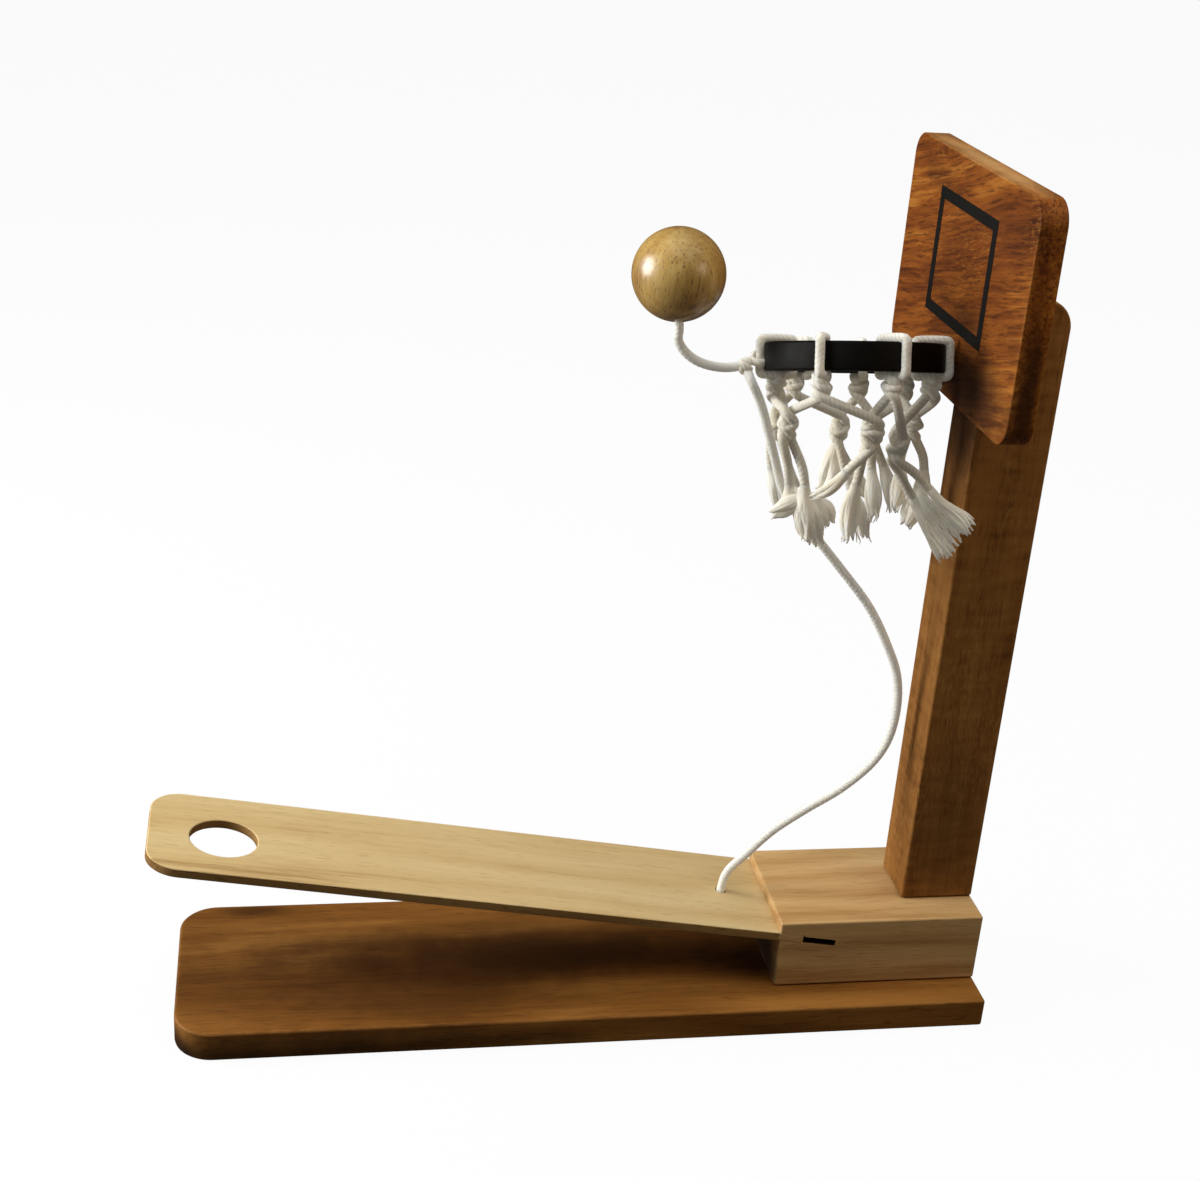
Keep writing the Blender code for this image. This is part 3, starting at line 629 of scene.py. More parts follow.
# %% Tufts
CORD_DIAMETER = 0.003
CORD_RADIUS = CORD_DIAMETER / 2
TUFT_RINGS, TUFT_POINTS = 22, 60
TUFT_TURN, TUFT_LIMIT = 0.05, 0.0035
ROOT_WIDTH, SWELL_SHARE = CORD_RADIUS * 1.05, 0.50
TAPER_START, TAPER_DEPTH = 0.62, 0.45
LOCK_DEPTH, LOCK_ROUNDING = 0.50, 0.7
LOCK_ENDS, LOCK_WIDTHS, CLEFT_END = (0.84, 1.0), (0.88, 1.0), 0.76
COMBS, COMB_DEPTH, COMB_WANDER = 15, 0.06, 0.25
TURNED_IN = ((0.94, 0.35), (0.84, 0.22))


def smooth_share(value):
    """0 up to 0, 1 from 1 on, smooth between them."""
    value = min(1.0, max(0.0, value))
    return value * value * (3 - 2 * value)


def tuft(strands, tail, spread, lock_count, chance, limit=TUFT_LIMIT):
    """A soft tuft along the end of a tail, which runs towards its loose end."""
    frames = carried_frames(tail)
    start = chance.uniform(0, math.tau)
    ends = [chance.uniform(*LOCK_ENDS) for lock in range(lock_count)]
    widths = [chance.uniform(*LOCK_WIDTHS) for lock in range(lock_count)]
    wander = [chance.uniform(-COMB_WANDER, COMB_WANDER) for comb in range(TUFT_POINTS)]

    def spot(point, share, width):
        place = lock_count * point / TUFT_POINTS
        lock = int(place) % lock_count
        ridge = math.sin(math.pi * (place % 1)) ** LOCK_ROUNDING
        end = CLEFT_END + (ends[lock] - CLEFT_END) * ridge
        index = round(share * (len(tail) - 1) * end)
        side, across = frames[min(index, len(frames) - 1)]
        comb = math.cos(math.tau * COMBS * point / TUFT_POINTS + wander[point])
        width *= 1 - LOCK_DEPTH * smooth_share(share) * (1 - ridge) - COMB_DEPTH * share * comb
        width *= 1 + (widths[lock] - 1) * ridge * share
        angle = start + math.tau * (point / TUFT_POINTS + share * share * TUFT_TURN)
        out = side * math.cos(angle) + across * math.sin(angle)
        return tail[min(index, len(tail) - 1)] + out * min(width, limit)

    rings, turns = [], []
    for ring in range(TUFT_RINGS):
        share = ring / (TUFT_RINGS - 1)
        width = ROOT_WIDTH + (spread - ROOT_WIDTH) * smooth_share(share / SWELL_SHARE)
        width *= 1 - TAPER_DEPTH * smooth_share((share - TAPER_START) / (1 - TAPER_START))
        rings.append([spot(point, share, width) for point in range(TUFT_POINTS)])
        turns.append(share)
    for share, width in TURNED_IN:
        rings.append([spot(point, share, spread * width) for point in range(TUFT_POINTS)])
        turns.append(share)
    strands.skin(rings, turns, 1)


print("tuft:", TUFT_RINGS + len(TURNED_IN), "rings of", TUFT_POINTS, "points")

# %% [markdown]
# ## Wisps and the net's cords
# A few thin wisps have come loose beside each tuft. Only the widest fringe has opened into
# single strands. Hair could be grown there, but it isn't a mesh, so wisps are thin tubes too.
# Each tail has its own length and width of tuft in millimetres, and its number of locks; no
# locks means an open end.

# %% Net cords
FRAY_OVERLAP = 0.0012
PLIED_RADIUS = CORD_RADIUS * 1.03
WISPS, OPEN_YARNS = 3, 22
YARN_RADIUS, YARN_RINGS, YARN_SIDES = 0.00025, 11, 5
ABOUT_A_TURN = 6.28
CORD_SEED = 100
FRAYS = (
    ((17, 2.9, 4), (18, 3.0, 4)), ((15, 2.9, 4), (20, 3.1, 4)), ((17, 3.1, 4), (20, 3.3, 5)),
    ((14, 2.1, 2), (19, 3.3, 4)), ((14, 2.1, 3), (21, 3.4, 5)), ((21, 3.0, 0), (25, 3.2, 0)),
    ((16, 3.0, 3), (16, 3.0, 3)),
)


def loose_yarns(strands, tail, count, thickness, inner, outer, first, chance):
    """Thin yarns that part from a tail, from a share of its length on."""
    frames = carried_frames(tail)
    for yarn in range(count):
        angle = math.tau * (yarn + chance.uniform(0, 1)) / count
        begin, reach = inner * chance.uniform(0.6, 1.0), outer * chance.uniform(0.5, 1.0)
        last = chance.uniform(0.88, 1.0)
        phase, waves = chance.uniform(0, ABOUT_A_TURN), chance.uniform(0.5, 1.4)
        points = []
        for ring in range(YARN_RINGS):
            share = ring / (YARN_RINGS - 1)
            index = round((first + (last - first) * share) * (len(tail) - 1))
            side, across = frames[index]
            out = begin + (reach - begin) * smooth_share(share)
            heading = angle + 0.5 * share * math.sin(phase + waves * ABOUT_A_TURN * share)
            aside = side * (out * math.cos(heading))
            points.append(tail[index] + aside + across * (out * math.sin(heading)))
        radii = [thickness] * (YARN_RINGS - 2) + [thickness * 0.8, thickness * 0.4]
        strands.add(points, radii, [1.0] * YARN_SIDES, kind=2)


def fray(strands, tail, spread, lock_count, chance):
    """The loose end of a tail: a tuft with wisps, or only strands if it has no locks."""
    if lock_count:
        tuft(strands, tail, spread, lock_count, chance)
        loose_yarns(strands, tail, WISPS, YARN_RADIUS, spread * 0.5, spread, 0.55, chance)
    else:
        inner = CORD_RADIUS * 0.8
        loose_yarns(strands, tail, OPEN_YARNS, 2 * YARN_RADIUS, inner, spread, 0.0, chance)


def tube_radii(count, thinned):
    """Full radius, but for the last rings of the ends that thin away."""
    radii = [PLIED_RADIUS] * count
    for step in range(thinned):
        share = math.sin(math.pi / 2 * (step + 0.3) / thinned)
        radii[step] *= share
        radii[-1 - step] *= share
    return radii


def frayed_cord(index, route):
    """A net cord with a frayed end at each side."""
    chance = random.Random(CORD_SEED + index)
    first_length, first_spread, first_locks = FRAYS[index][0]
    last_length, last_spread, last_locks = FRAYS[index - 1][1]
    lap = round(FRAY_OVERLAP / RING_STEP)
    first = round(first_length / 1000 / RING_STEP)
    last = round(last_length / 1000 / RING_STEP)
    strands = Strands()
    core = route[first - lap:len(route) - last + lap]
    strands.add(core, tube_radii(len(core), 2 * lap), PLY_PROFILE, LAY_LENGTH)
    fray(strands, route[first + lap::-1], first_spread / 1000, first_locks, chance)
    fray(strands, route[-last - lap:], last_spread / 1000, last_locks, chance)
    return strands.piece("cord_net_%d" % (index + 1), cord_cotton, lock_cotton, yarn_cotton)


net_cords = [frayed_cord(index, route) for index, route in enumerate(net_routes)]
print("net faces:", sum(len(cord.data.polygons) for cord in net_cords))

# %% [markdown]
# ## The net's knots
# Two twisted strands alone would look like rope. A real knot has a turn of cord pulled round
# them, so every knot gets a short length of cord that winds once and a half round its middle,
# leaning over, with both its ends tucked in between the strands.

# %% Knot turns
TURN_RADIUS, TURN_THICKNESS = 0.0022, 0.0013
TURN_WINDING = math.tau * 1.45
TURN_PITCH, TURN_LEAN, LEAN_ANGLE = 0.0022, 0.0011, 2.0
TURN_STEPS = 24
TUCK_START, TUCK_SLOPE = 0.35, 5
KNOT_SMOOTHING = 4


def knot_turn(top, axes, height, start):
    """The route of a turn of cord round the middle of a knot."""
    outward, sideways, upward = axes
    middle = top - upward * height / 2
    points = []
    for step in range(TURN_STEPS + 1):
        share = step / TURN_STEPS
        angle = start + TURN_WINDING * share
        tuck = min(1.0, TUCK_START + TUCK_SLOPE * min(share, 1 - share))
        out = outward * math.cos(angle) + sideways * math.sin(angle)
        lift = TURN_PITCH * (share - 0.5) + TURN_LEAN * math.cos(angle - start - LEAN_ANGLE)
        points.append(middle + out * TURN_RADIUS * tuck + upward * lift)
    return even_points(smooth_route(points, KNOT_SMOOTHING), RING_STEP)


print("turns round a knot:", TURN_WINDING / math.tau)

# %% [markdown]
# ## Fringe and wads
# Between the two tails of the widest fringe, loose strands fan out, each on a route between
# theirs. Some knots also hold a wad of cotton that has come out of their cords. A dented sphere
# would look like a lump, so a wad is a tuft of its own, wider than a cord's end; its route says
# where it hangs.

# %% Fringe and wads
OPEN_ROW = 5
FRINGE_STRANDS, FRINGE_RINGS, FRINGE_RADIUS = 22, 12, 0.00042
FRINGE_LEAN, FRINGE_WAVE = 0.0012, 0.0007
FRINGE_SEED, WAD_SEED = 77, 900

# Knot, route, width in millimetres and number of locks of each wad
WADS = (
    (3, ((0.0605, -0.0080, 0.1900), (0.0555, -0.0080, 0.1862), (0.0492, -0.0070, 0.1822)), 3.4, 3),
    (3, ((0.0590, -0.0100, 0.1930), (0.0612, -0.0100, 0.1850), (0.0640, -0.0090, 0.1780),
         (0.0672, -0.0080, 0.1725)), 4.8, 5),
    (3, ((0.0640, -0.0090, 0.1890), (0.0680, -0.0080, 0.1840), (0.0712, -0.0080, 0.1785)), 3.8, 4),
    (1, ((0.0795, 0.0215, 0.1985), (0.0788, 0.0220, 0.1920), (0.0775, 0.0220, 0.1834),
         (0.0740, 0.0218, 0.1770)), 4.2, 4),
    (6, ((0.1036, 0.0020, 0.1890), (0.1012, 0.0000, 0.1830), (0.0980, -0.0020, 0.1752)), 4.0, 3),
)


def open_fringe():
    """Loose strands that fan out between the two tails of the widest fringe."""
    chance = random.Random(FRINGE_SEED)
    reach = round(FRAYS[OPEN_ROW][1][0] / 1000 / RING_STEP)
    near = net_routes[OPEN_ROW][reach::-1]
    far = net_routes[OPEN_ROW + 1][-reach - 1:]
    strands = Strands()
    for number in range(FRINGE_STRANDS):
        weight = (number + chance.uniform(0.1, 0.9)) / FRINGE_STRANDS
        end = chance.uniform(0.90, 1.0)
        phase, waves = chance.uniform(0, ABOUT_A_TURN), chance.uniform(0.7, 1.6)
        lean = chance.uniform(-FRINGE_LEAN, FRINGE_LEAN)
        points = []
        for ring in range(FRINGE_RINGS):
            share = ring / (FRINGE_RINGS - 1)
            index = round(share * end * (len(near) - 1))
            wave = FRINGE_WAVE * share * math.sin(phase + waves * ABOUT_A_TURN * share)
            apart = 0.5 + (weight - 0.5) * smooth_share(0.3 + share)
            spot = near[index].lerp(far[index], apart)
            points.append(spot + Vector((wave, lean * share, wave)))
        strands.add(points, [FRINGE_RADIUS] * FRINGE_RINGS, [1.0] * YARN_SIDES)
    return strands.piece("fringe_open", yarn_cotton)


def wad(number, points, width, lock_count):
    """A loose tuft of cotton beside the cords, as a piece of its own."""
    width /= 1000
    strands = Strands()
    tail = even_points(smooth_route(points), RING_STEP)
    tuft(strands, tail, width, lock_count, random.Random(WAD_SEED + number), limit=width)
    return strands.piece("wad_%d" % number, cord_cotton, lock_cotton)


print("fringe strands:", FRINGE_STRANDS, "wads:", len(WADS))

# %% [markdown]
# ## Handing over the net
# Every piece is attached to the body it rides on, and the CAD nodes that it stands for are
# hidden. A cord's knots, and the fringe or the wads that hang there, ride on the same body.

# %% Net handed over
KNOT_SEED = 500


def assign(piece, slot, body, *nodes):
    """The body a piece rides on, and the CAD nodes that it replaces; its slot is not used."""
    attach(piece, body)
    if nodes:
        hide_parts(*nodes)


def net_knots(index):
    """The turns round the two knots that belong to a cord."""
    chance = random.Random(KNOT_SEED + index)
    strands = Strands()
    for knot, height in ((ring_knot, NET_KNOT_HEIGHT), (row_knot, NET_TWIST_HEIGHT)):
        start = chance.uniform(0, math.tau)
        strands.rope(knot_turn(*knot(index), height, start), TURN_THICKNESS)
    return strands.piece("knots_net_%d" % (index + 1), cord_cotton)


for index, (cord, route) in enumerate(zip(net_cords, net_routes)):
    extras = [net_knots(index)]
    if index == OPEN_ROW:
        extras.append(open_fringe())
    for number, (knot, *how) in enumerate(WADS, start=1):
        if knot == index:
            extras.append(wad(number, *how))
    assign(cord, "cotton_cord", "stand", "net_cord_%d" % (index + 1))
    for piece in extras:
        assign(piece, "cotton_cord", "stand")
    route_length(route)
print("knots in the net:", 2 * len(net_cords))

# %% [markdown]
# ## The tether
# One cord holds the ball. Its short stretch comes out of the ball's bore and is tied to the
# net's front loop; its long stretch goes on from there, past the net and down to the slat,
# where it passes through a hole and ends in a stopper knot underneath.
# The short stretch swings with the ball. The long one is left where it lies, between the stand
# and the slat.

# %% Tether
HITCH = Vector((0.039586, 0.002914, 0.228994))
SWING_PLANE = 0.0018
BALL_DIAMETER = 0.0293
BALL_BORE_DEPTH = 0.008
BALL_CENTRE = HITCH + Vector((-0.0235, SWING_PLANE, 0.0283))
BALL_CORD_END = HITCH + Vector((-0.0010, SWING_PLANE, -0.0006))
TETHER_START = HITCH + Vector((0.0005, -0.0004, -0.0010))
BALL_CORD_ROUTE = (
    (-0.0219, 0.0106),
    (-0.0219, 0.0075),
    (-0.0197, 0.0040),
    (-0.0155, 0.0009),
    (-0.0102, -0.0008),
    (-0.0048, -0.0012),
)
TETHER_ROUTE = (
    (0.0412, -0.0008, 0.2250),
    (0.0446, -0.0005, 0.2187),
    (0.0487, 0.0000, 0.2082),
    (0.0522, 0.0005, 0.1982),
    (0.0555, 0.0010, 0.1892),
    (0.0628, 0.0020, 0.1782),
    (0.0695, 0.0020, 0.1709),
    (0.0791, 0.0015, 0.1600),
    (0.0909, 0.0010, 0.1458),
    (0.0989, 0.0010, 0.1321),
    (0.1041, 0.0010, 0.1203),
    (0.1059, 0.0010, 0.1085),
    (0.1046, 0.0010, 0.0955),
    (0.1001, 0.0010, 0.0861),
    (0.0901, 0.0010, 0.0759),
    (0.0771, 0.0005, 0.0674),
    (0.0661, 0.0000, 0.0594),
    (0.0565, 0.0000, 0.0490),
    (0.0524, 0.0000, 0.0445),
)
SLAT_PIVOT = Vector((0.0662, 0, 0.0313))
SLAT_SLOPE = math.radians(9.2)
SLAT_THICKNESS = 0.0033
SLAT_HALF = SLAT_THICKNESS / 2
CORD_HOLE_DISTANCE = 0.0168
CORD_RISE, KNOT_DROP = 0.0055, 0.0030
TO_SLAT = Matrix.Translation(SLAT_PIVOT) @ Matrix.Rotation(SLAT_SLOPE, 4, "Y")


def at_cord_hole(height):
    """A point on the cord hole's axis, at a height above the slat's middle."""
    return TO_SLAT @ Vector((-CORD_HOLE_DISTANCE, 0, height))


def make_cord(name, points, node):
    """A length of the tether along some points, and its route."""
    route = even_points(smooth_route(points), RING_STEP)
    strands = Strands()
    strands.rope(route, PLIED_RADIUS)
    cord = strands.piece(name, tether_cotton)
    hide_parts(node)
    return cord, route


ball_points = [HITCH + Vector((x, SWING_PLANE, z)) for x, z in BALL_CORD_ROUTE]
BORE_AXIS = (ball_points[0] - BALL_CENTRE).normalized()
bore_end = BALL_CENTRE + BORE_AXIS * (BALL_DIAMETER / 2 - BALL_BORE_DEPTH)
bore_mouth = BALL_CENTRE + BORE_AXIS * BALL_DIAMETER / 2
ball_points = [bore_end, bore_mouth] + ball_points + [BALL_CORD_END]
ball_cord, ball_route = make_cord("cord_ball", ball_points, "tether_ball_end")
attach(ball_cord, "ball_on_cord")

slat_end = [at_cord_hole(h) for h in (SLAT_HALF + CORD_RISE, SLAT_HALF, -SLAT_HALF - KNOT_DROP)]
tether_points = [TETHER_START] + list(TETHER_ROUTE) + slat_end
tether, tether_route = make_cord("cord_tether", tether_points, "tether_main")
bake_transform(tether)
print("tether, mm:", round(route_length(ball_route + tether_route) * 1000))

# %% [markdown]
# ## Two small knots
# The hitch that ties the tether to the net's loop and the stopper under the slat are knots of
# the same cord, pulled tight. A trefoil curve is the simplest knotted line, so a short tube
# along it, squeezed to the knot's size, has the crossings that a real knot shows.

# %% Knots
KNOT_STEPS = 72
TREFOIL = (0.64, 0.36)
HITCH_SIZE, HITCH_CORD = (0.0018, 0.0024), 0.0011
STOPPER_SIZE, STOPPER_CORD, STOPPER_DROP = (0.0022, 0.0028), 0.0013, 0.0031
FRONT_LOOP = 3
HITCH_TURN_HEIGHT, HITCH_TURN_OUT, HITCH_TURN_START = -0.0012, 0.0006, 1.03 * math.pi


def knot_route(centre, size, turn):
    """An almost closed trefoil about the Z axis of turn; size is its radius and its height."""
    radius, height = size
    points = []
    for step in range(KNOT_STEPS):
        angle = math.tau * step / KNOT_STEPS
        out = radius * (TREFOIL[0] + TREFOIL[1] * math.cos(3 * angle))
        lift = height / 2 * math.sin(3 * angle)
        spot = Vector((out * math.cos(2 * angle), out * math.sin(2 * angle), lift))
        points.append(centre + turn @ spot)
    return even_points(smooth_route(points, KNOT_SMOOTHING), RING_STEP)


def make_knot(name, route, thickness, body, *nodes):
    strands = Strands()
    strands.rope(route, thickness)
    knot = strands.piece(name, cord_cotton)
    assign(knot, "cotton_cord", body, *nodes)
    return knot


hitch_turn = Matrix.Rotation(math.radians(80), 3, "Y") @ Matrix.Rotation(0.4, 3, "Z")
hitch_route = knot_route(HITCH, HITCH_SIZE, hitch_turn)
hitch_knot = make_knot("knot_hitch", hitch_route, HITCH_CORD, "stand", "tether_hitch")

front_angle = math.radians(NET_LOOP_ANGLES[FRONT_LOOP])
turn_place = HOOP_RADIUS + PRESSED + HITCH_TURN_OUT
turn_spot = on_hoop(front_angle, turn_place, TWIST_RADIUS, HITCH_TURN_HEIGHT)
turn_route = knot_turn(turn_spot, hoop_axes(front_angle), 0.0, HITCH_TURN_START)
hitch_turns = make_knot("turns_hitch", turn_route, TURN_THICKNESS, "stand")

stopper_centre = at_cord_hole(-SLAT_HALF - STOPPER_DROP)
stopper_route = knot_route(stopper_centre, STOPPER_SIZE, Matrix.Rotation(SLAT_SLOPE, 3, "Y"))
stopper = make_knot("knot_stopper", stopper_route, STOPPER_CORD, "slat", "tether_knot")

route_length(ball_route)
route_length(tether_route)
print("knots:", hitch_knot.name, hitch_turns.name, stopper.name)

# %% [markdown]
# ## Wood
# Grain runs through a piece of wood, so its pattern is solid: it is made in the object's own
# space, with one axis along the grain. Slow noise gives broad bands, a sine of the distance
# from the tree's heart gives growth rings, and noise that is stretched along the grain gives
# fibres and pores. On a cut across the grain the same pattern turns to dots, as it should.
# Use wears the edges, so each piece knows its own box and pales a little along them. Soft
# patches of another tone stand for stains, and for painted shadow, painted shade and painted light.

# %% Wood finish
def edge_wear(finish, box, width):
    """1 on the edges of a box, 0 further in than width."""
    low, high = (Vector(corner) for corner in box)
    spread = finish.vector("ABSOLUTE", finish.vector("SUBTRACT", finish.placed(), (low + high) / 2))
    x, y, z = (size - part for size, part in zip((high - low) / 2, finish.parts(spread)))
    second = x.math("MINIMUM", y).math("MAXIMUM", x.math("MAXIMUM", y).math("MINIMUM", z))
    return finish.step(second, width, 0.0)


def patched(finish, colour, patches, tones):
    """Soft patches; each has a centre, a reach along x, y and z, a strength and a tone."""
    place = finish.placed()
    ragged = finish.noise(place, (60, 60, 60), 3, 0.6) * 0.6
    for centre, reach, strength, tone in patches:
        scaled = finish.vector("DIVIDE", finish.vector("SUBTRACT", place, centre), reach)
        away = finish.vector("LENGTH", scaled, output="Value")
        share = finish.step(away + ragged, 1.3, 0.5) * strength
        colour = finish.mix(share, colour, tones[tone])
    return colour


EDGE_WIDTH = 0.0022
TONE_PLACES = (-0.32, -0.08, 0.12, 0.35)
ALONG_X = (0, 0, 0)
ALONG_Z = (0, math.pi / 2, 0)


def wood(name, box, turn, shift, tones, ring_gap, shares, pore_depth, roughness=0.50, flecks=0.0,
         pore=(110, 1300, 1300), wear=0.25, wave=0.002, curl=0.0, contrast=1.0, lines=0.0,
         streak=(14, 420, 420), line=(40, 900, 900), patches=()):
    """An oiled wood; tones run from dark to light, shares weigh bands, rings and streaks."""
    tones = [linear(*tone) for tone in tones]
    finish = Finish(name)
    straight = finish.placed(turn, shift)
    sway = finish.noise(straight, (22, 40, 40), 2, 0.5, "Color")
    place = finish.vector("MULTIPLY_ADD", sway, (0, 2 * wave, 2 * wave), straight)
    bands = finish.noise(place, (7, 38, 38), 3, 0.55)
    drift = finish.noise(place, (4, 16, 16), 2)
    _, across, depth = finish.parts(place)
    heart = (across * across + depth * depth) ** 0.5
    rings = ((heart / ring_gap + drift * 5) * math.tau).math("SINE") * 0.5 + 0.5
    streaks = finish.noise(place, streak, 4, 0.6)
    fibres = finish.noise(place, (60, 1900, 1900), 2, 0.6)
    ripple = finish.noise(straight, (330, 90, 90), 2, 0.5)
    tone = bands * shares[0] + rings * shares[1] + streaks * shares[2] + fibres * 0.12 - 0.06
    tone = tone + (ripple - 0.5) * curl
    stops = [(0.5 + reach / contrast, colour) for reach, colour in zip(TONE_PLACES, tones)]
    colour = finish.add("ValToRGB", {"stops": stops}, {0: tone})
    if flecks:
        dashes = finish.step(finish.noise(place, (300, 1250, 1250), 2), 0.52, 0.64)
        groups = finish.step(finish.noise(straight, (18, 30, 30), 2), 0.44, 0.62)
        colour = finish.mix(dashes * groups * flecks, colour, tones[3])
    if lines:
        thin = finish.step(finish.noise(place, line, 3, 0.6), 0.52, 0.64)
        colour = finish.mix(thin * lines, colour, tones[0])
    pores = finish.step(finish.noise(place, pore, 1), 0.60, 0.70)
    colour = finish.mix(pores * pore_depth, colour, tones[0])
    if patches:
        colour = patched(finish, colour, patches, tones)
    scuffs = finish.step(finish.noise(place, (160, 160, 160), 3, 0.6), 0.35, 0.65)
    worn = edge_wear(finish, box, EDGE_WIDTH) * scuffs
    colour = finish.mix(worn * wear, colour, tones[3])
    finish.shade(
        Base_Color=colour,
        Roughness=roughness + streaks * 0.14 + pores * 0.12 - worn * 0.08,
        Normal=finish.bump(fibres * 0.35 + streaks * 0.3 - pores * 0.6, 0.00012, 0.7),
        Specular_IOR_Level=0.15,
    )
    return finish.material


print("wood recipe ready")

# %% [markdown]
# ## Working on a piece of wood
# The boards start as cubes at their size and place. An operator acts on all that is selected,
# so everything is deselected first. Corners are rounded in edit mode with the bevel operator,
# on edges picked by where they are.

# %% Starting and shaping
LEAST_RUN = 0.002


def deselect():
    bpy.ops.object.select_all(action="DESELECT")


def only(piece):
    """Object mode, with this piece alone selected and active."""
    if bpy.context.object and bpy.context.object.mode != "OBJECT":
        bpy.ops.object.mode_set(mode="OBJECT")
    deselect()
    piece.select_set(True)
    bpy.context.view_layer.objects.active = piece


def settle(piece, name):
    """Name a new primitive and put its place and size into its mesh."""
    piece.name = name
    piece.data.name = name
    only(piece)
    bpy.ops.object.transform_apply(location=True, rotation=True, scale=True)
    return piece


def start_box(name, low, high):
    low, high = Vector(low), Vector(high)
    deselect()
    bpy.ops.mesh.primitive_cube_add(size=1, location=(low + high) / 2)
    bpy.context.object.scale = high - low
    return settle(bpy.context.object, name)


def start_sheet(name, width, height, middle, turn):
    """A flat rectangle, turned about its middle."""
    deselect()
    bpy.ops.mesh.primitive_plane_add(size=1, location=middle, rotation=turn)
    bpy.context.object.scale = (width, height, 1)
    return settle(bpy.context.object, name)


def edit(piece, kind=None):
    """Edit mode, with nothing selected; kind is the kind of part to select next."""
    only(piece)
    bpy.ops.object.mode_set(mode="EDIT")
    if kind:
        bpy.ops.mesh.select_mode(type=kind)
    bpy.ops.mesh.select_all(action="DESELECT")
    return bmesh.from_edit_mesh(piece.data)


def on_all(operator, **settings):
    """Run a mesh operator on the whole of the piece in edit mode."""
    bpy.ops.mesh.select_all(action="SELECT")
    operator(**settings)


def leave_edit():
    bpy.ops.object.mode_set(mode="OBJECT")


def runs(a, b, axis):
    """Whether an edge's two ends lie apart along an axis."""
    return abs(a[axis] - b[axis]) > LEAST_RUN


def round_edges(piece, wanted, radius, segments=16):
    """Round the edges whose two ends satisfy wanted."""
    shape = edit(piece, "EDGE")
    for edge in shape.edges:
        edge.select_set(wanted(*(vert.co for vert in edge.verts)))
    bmesh.update_edit_mesh(piece.data)
    bpy.ops.mesh.bevel(offset=radius, segments=segments, affect="EDGES")
    leave_edit()


print("bench ready")

# %% [markdown]
# ## Cutting and smoothing
# Holes are cut with a Boolean modifier and a throwaway tool: faces could be cut by hand, but a
# drill says where the hole is. A Bevel modifier eases every sharp edge. Weighted normals at
# the end keep the broad faces flat in the light while the eased edges stay round.

# %% Cutting and smoothing
SMOOTH_ANGLE, SHARP_ANGLE = math.radians(35), math.radians(40)


def apply(piece, kind, **settings):
    """Add a modifier, set it and apply it."""
    only(piece)
    modifier = piece.modifiers.new(kind.lower(), kind)
    for key, value in settings.items():
        setattr(modifier, key, value)
    bpy.ops.object.modifier_apply(modifier=modifier.name)


def cut(piece, tool):
    apply(piece, "BOOLEAN", operation="DIFFERENCE", solver="EXACT", object=tool)
    bpy.data.objects.remove(tool, do_unlink=True)


def drill(piece, radius, start, end, sides=24):
    """A round hole from start to end."""
    start, end = Vector(start), Vector(end)
    axis = end - start
    turn = Vector((0, 0, 1)).rotation_difference(axis).to_euler()
    deselect()
    bpy.ops.mesh.primitive_cylinder_add(
        vertices=sides, radius=radius, depth=axis.length, location=(start + end) / 2, rotation=turn)
    cut(piece, settle(bpy.context.object, "drill"))


def smooth(piece):
    """Smooth shading, but for sharp edges."""
    only(piece)
    bpy.ops.object.shade_smooth_by_angle(angle=SMOOTH_ANGLE)


def smooth_faces(piece):
    """Smooth shading over rounded edges, flat over the broad faces."""
    smooth(piece)
    apply(piece, "WEIGHTED_NORMAL", keep_sharp=True)


def ease(piece, width, segments=3):
    """Take the sharpness off every edge."""
    apply(piece, "BEVEL", width=width, segments=segments, limit_method="ANGLE",
          angle_limit=SHARP_ANGLE, use_clamp_overlap=True)


def hand_over(piece, finish, slot, body, *nodes):
    piece.data.materials.clear()
    piece.data.materials.append(finish)
    assign(piece, slot, body, *nodes)


print("drill and plane ready")

# %% [markdown]
# ## Base board
# A flat board of dark oiled wood, with two round corners under the slat's free end and two
# square ones under the post. Two screws come through it from beneath, so it has their
# countersunk holes. They are drilled after the edges are eased, because the ledge in such a
# hole is too narrow for the bevel. The grain runs along the board.

# %% Base board
BASE_LENGTH, BASE_WIDTH, BASE_THICKNESS = 0.280, 0.075, 0.0106
BASE_CORNER = 0.013
END_X = BASE_LENGTH / 2
BASE_BOX = ((-END_X, -BASE_WIDTH / 2, 0), (END_X, BASE_WIDTH / 2, BASE_THICKNESS))
SCREW_PLACES = (0.0852, 0.121)
SCREW_HEAD, SCREW_SHANK, SCREW_SINK, SCREW_HEAD_HEIGHT = 0.0035, 0.00175, 0.0006, 0.0024
HEAD_TOP = SCREW_SINK + SCREW_HEAD_HEIGHT
GAP = 0.0003
DRILL_LEAD, DRILL_THROUGH = 0.01, 0.02
BOARD_EASE = 0.0009

base = start_box("plank_base", *BASE_BOX)
round_edges(base, lambda a, b: max(a.x, b.x) < 0 and runs(a, b, 2), BASE_CORNER)
ease(base, BOARD_EASE)
for x in SCREW_PLACES:
    drill(base, SCREW_HEAD + GAP, (x, 0, -DRILL_LEAD / 2), (x, 0, HEAD_TOP))
    drill(base, SCREW_SHANK + GAP, (x, 0, 0), (x, 0, DRILL_THROUGH))
smooth_faces(base)
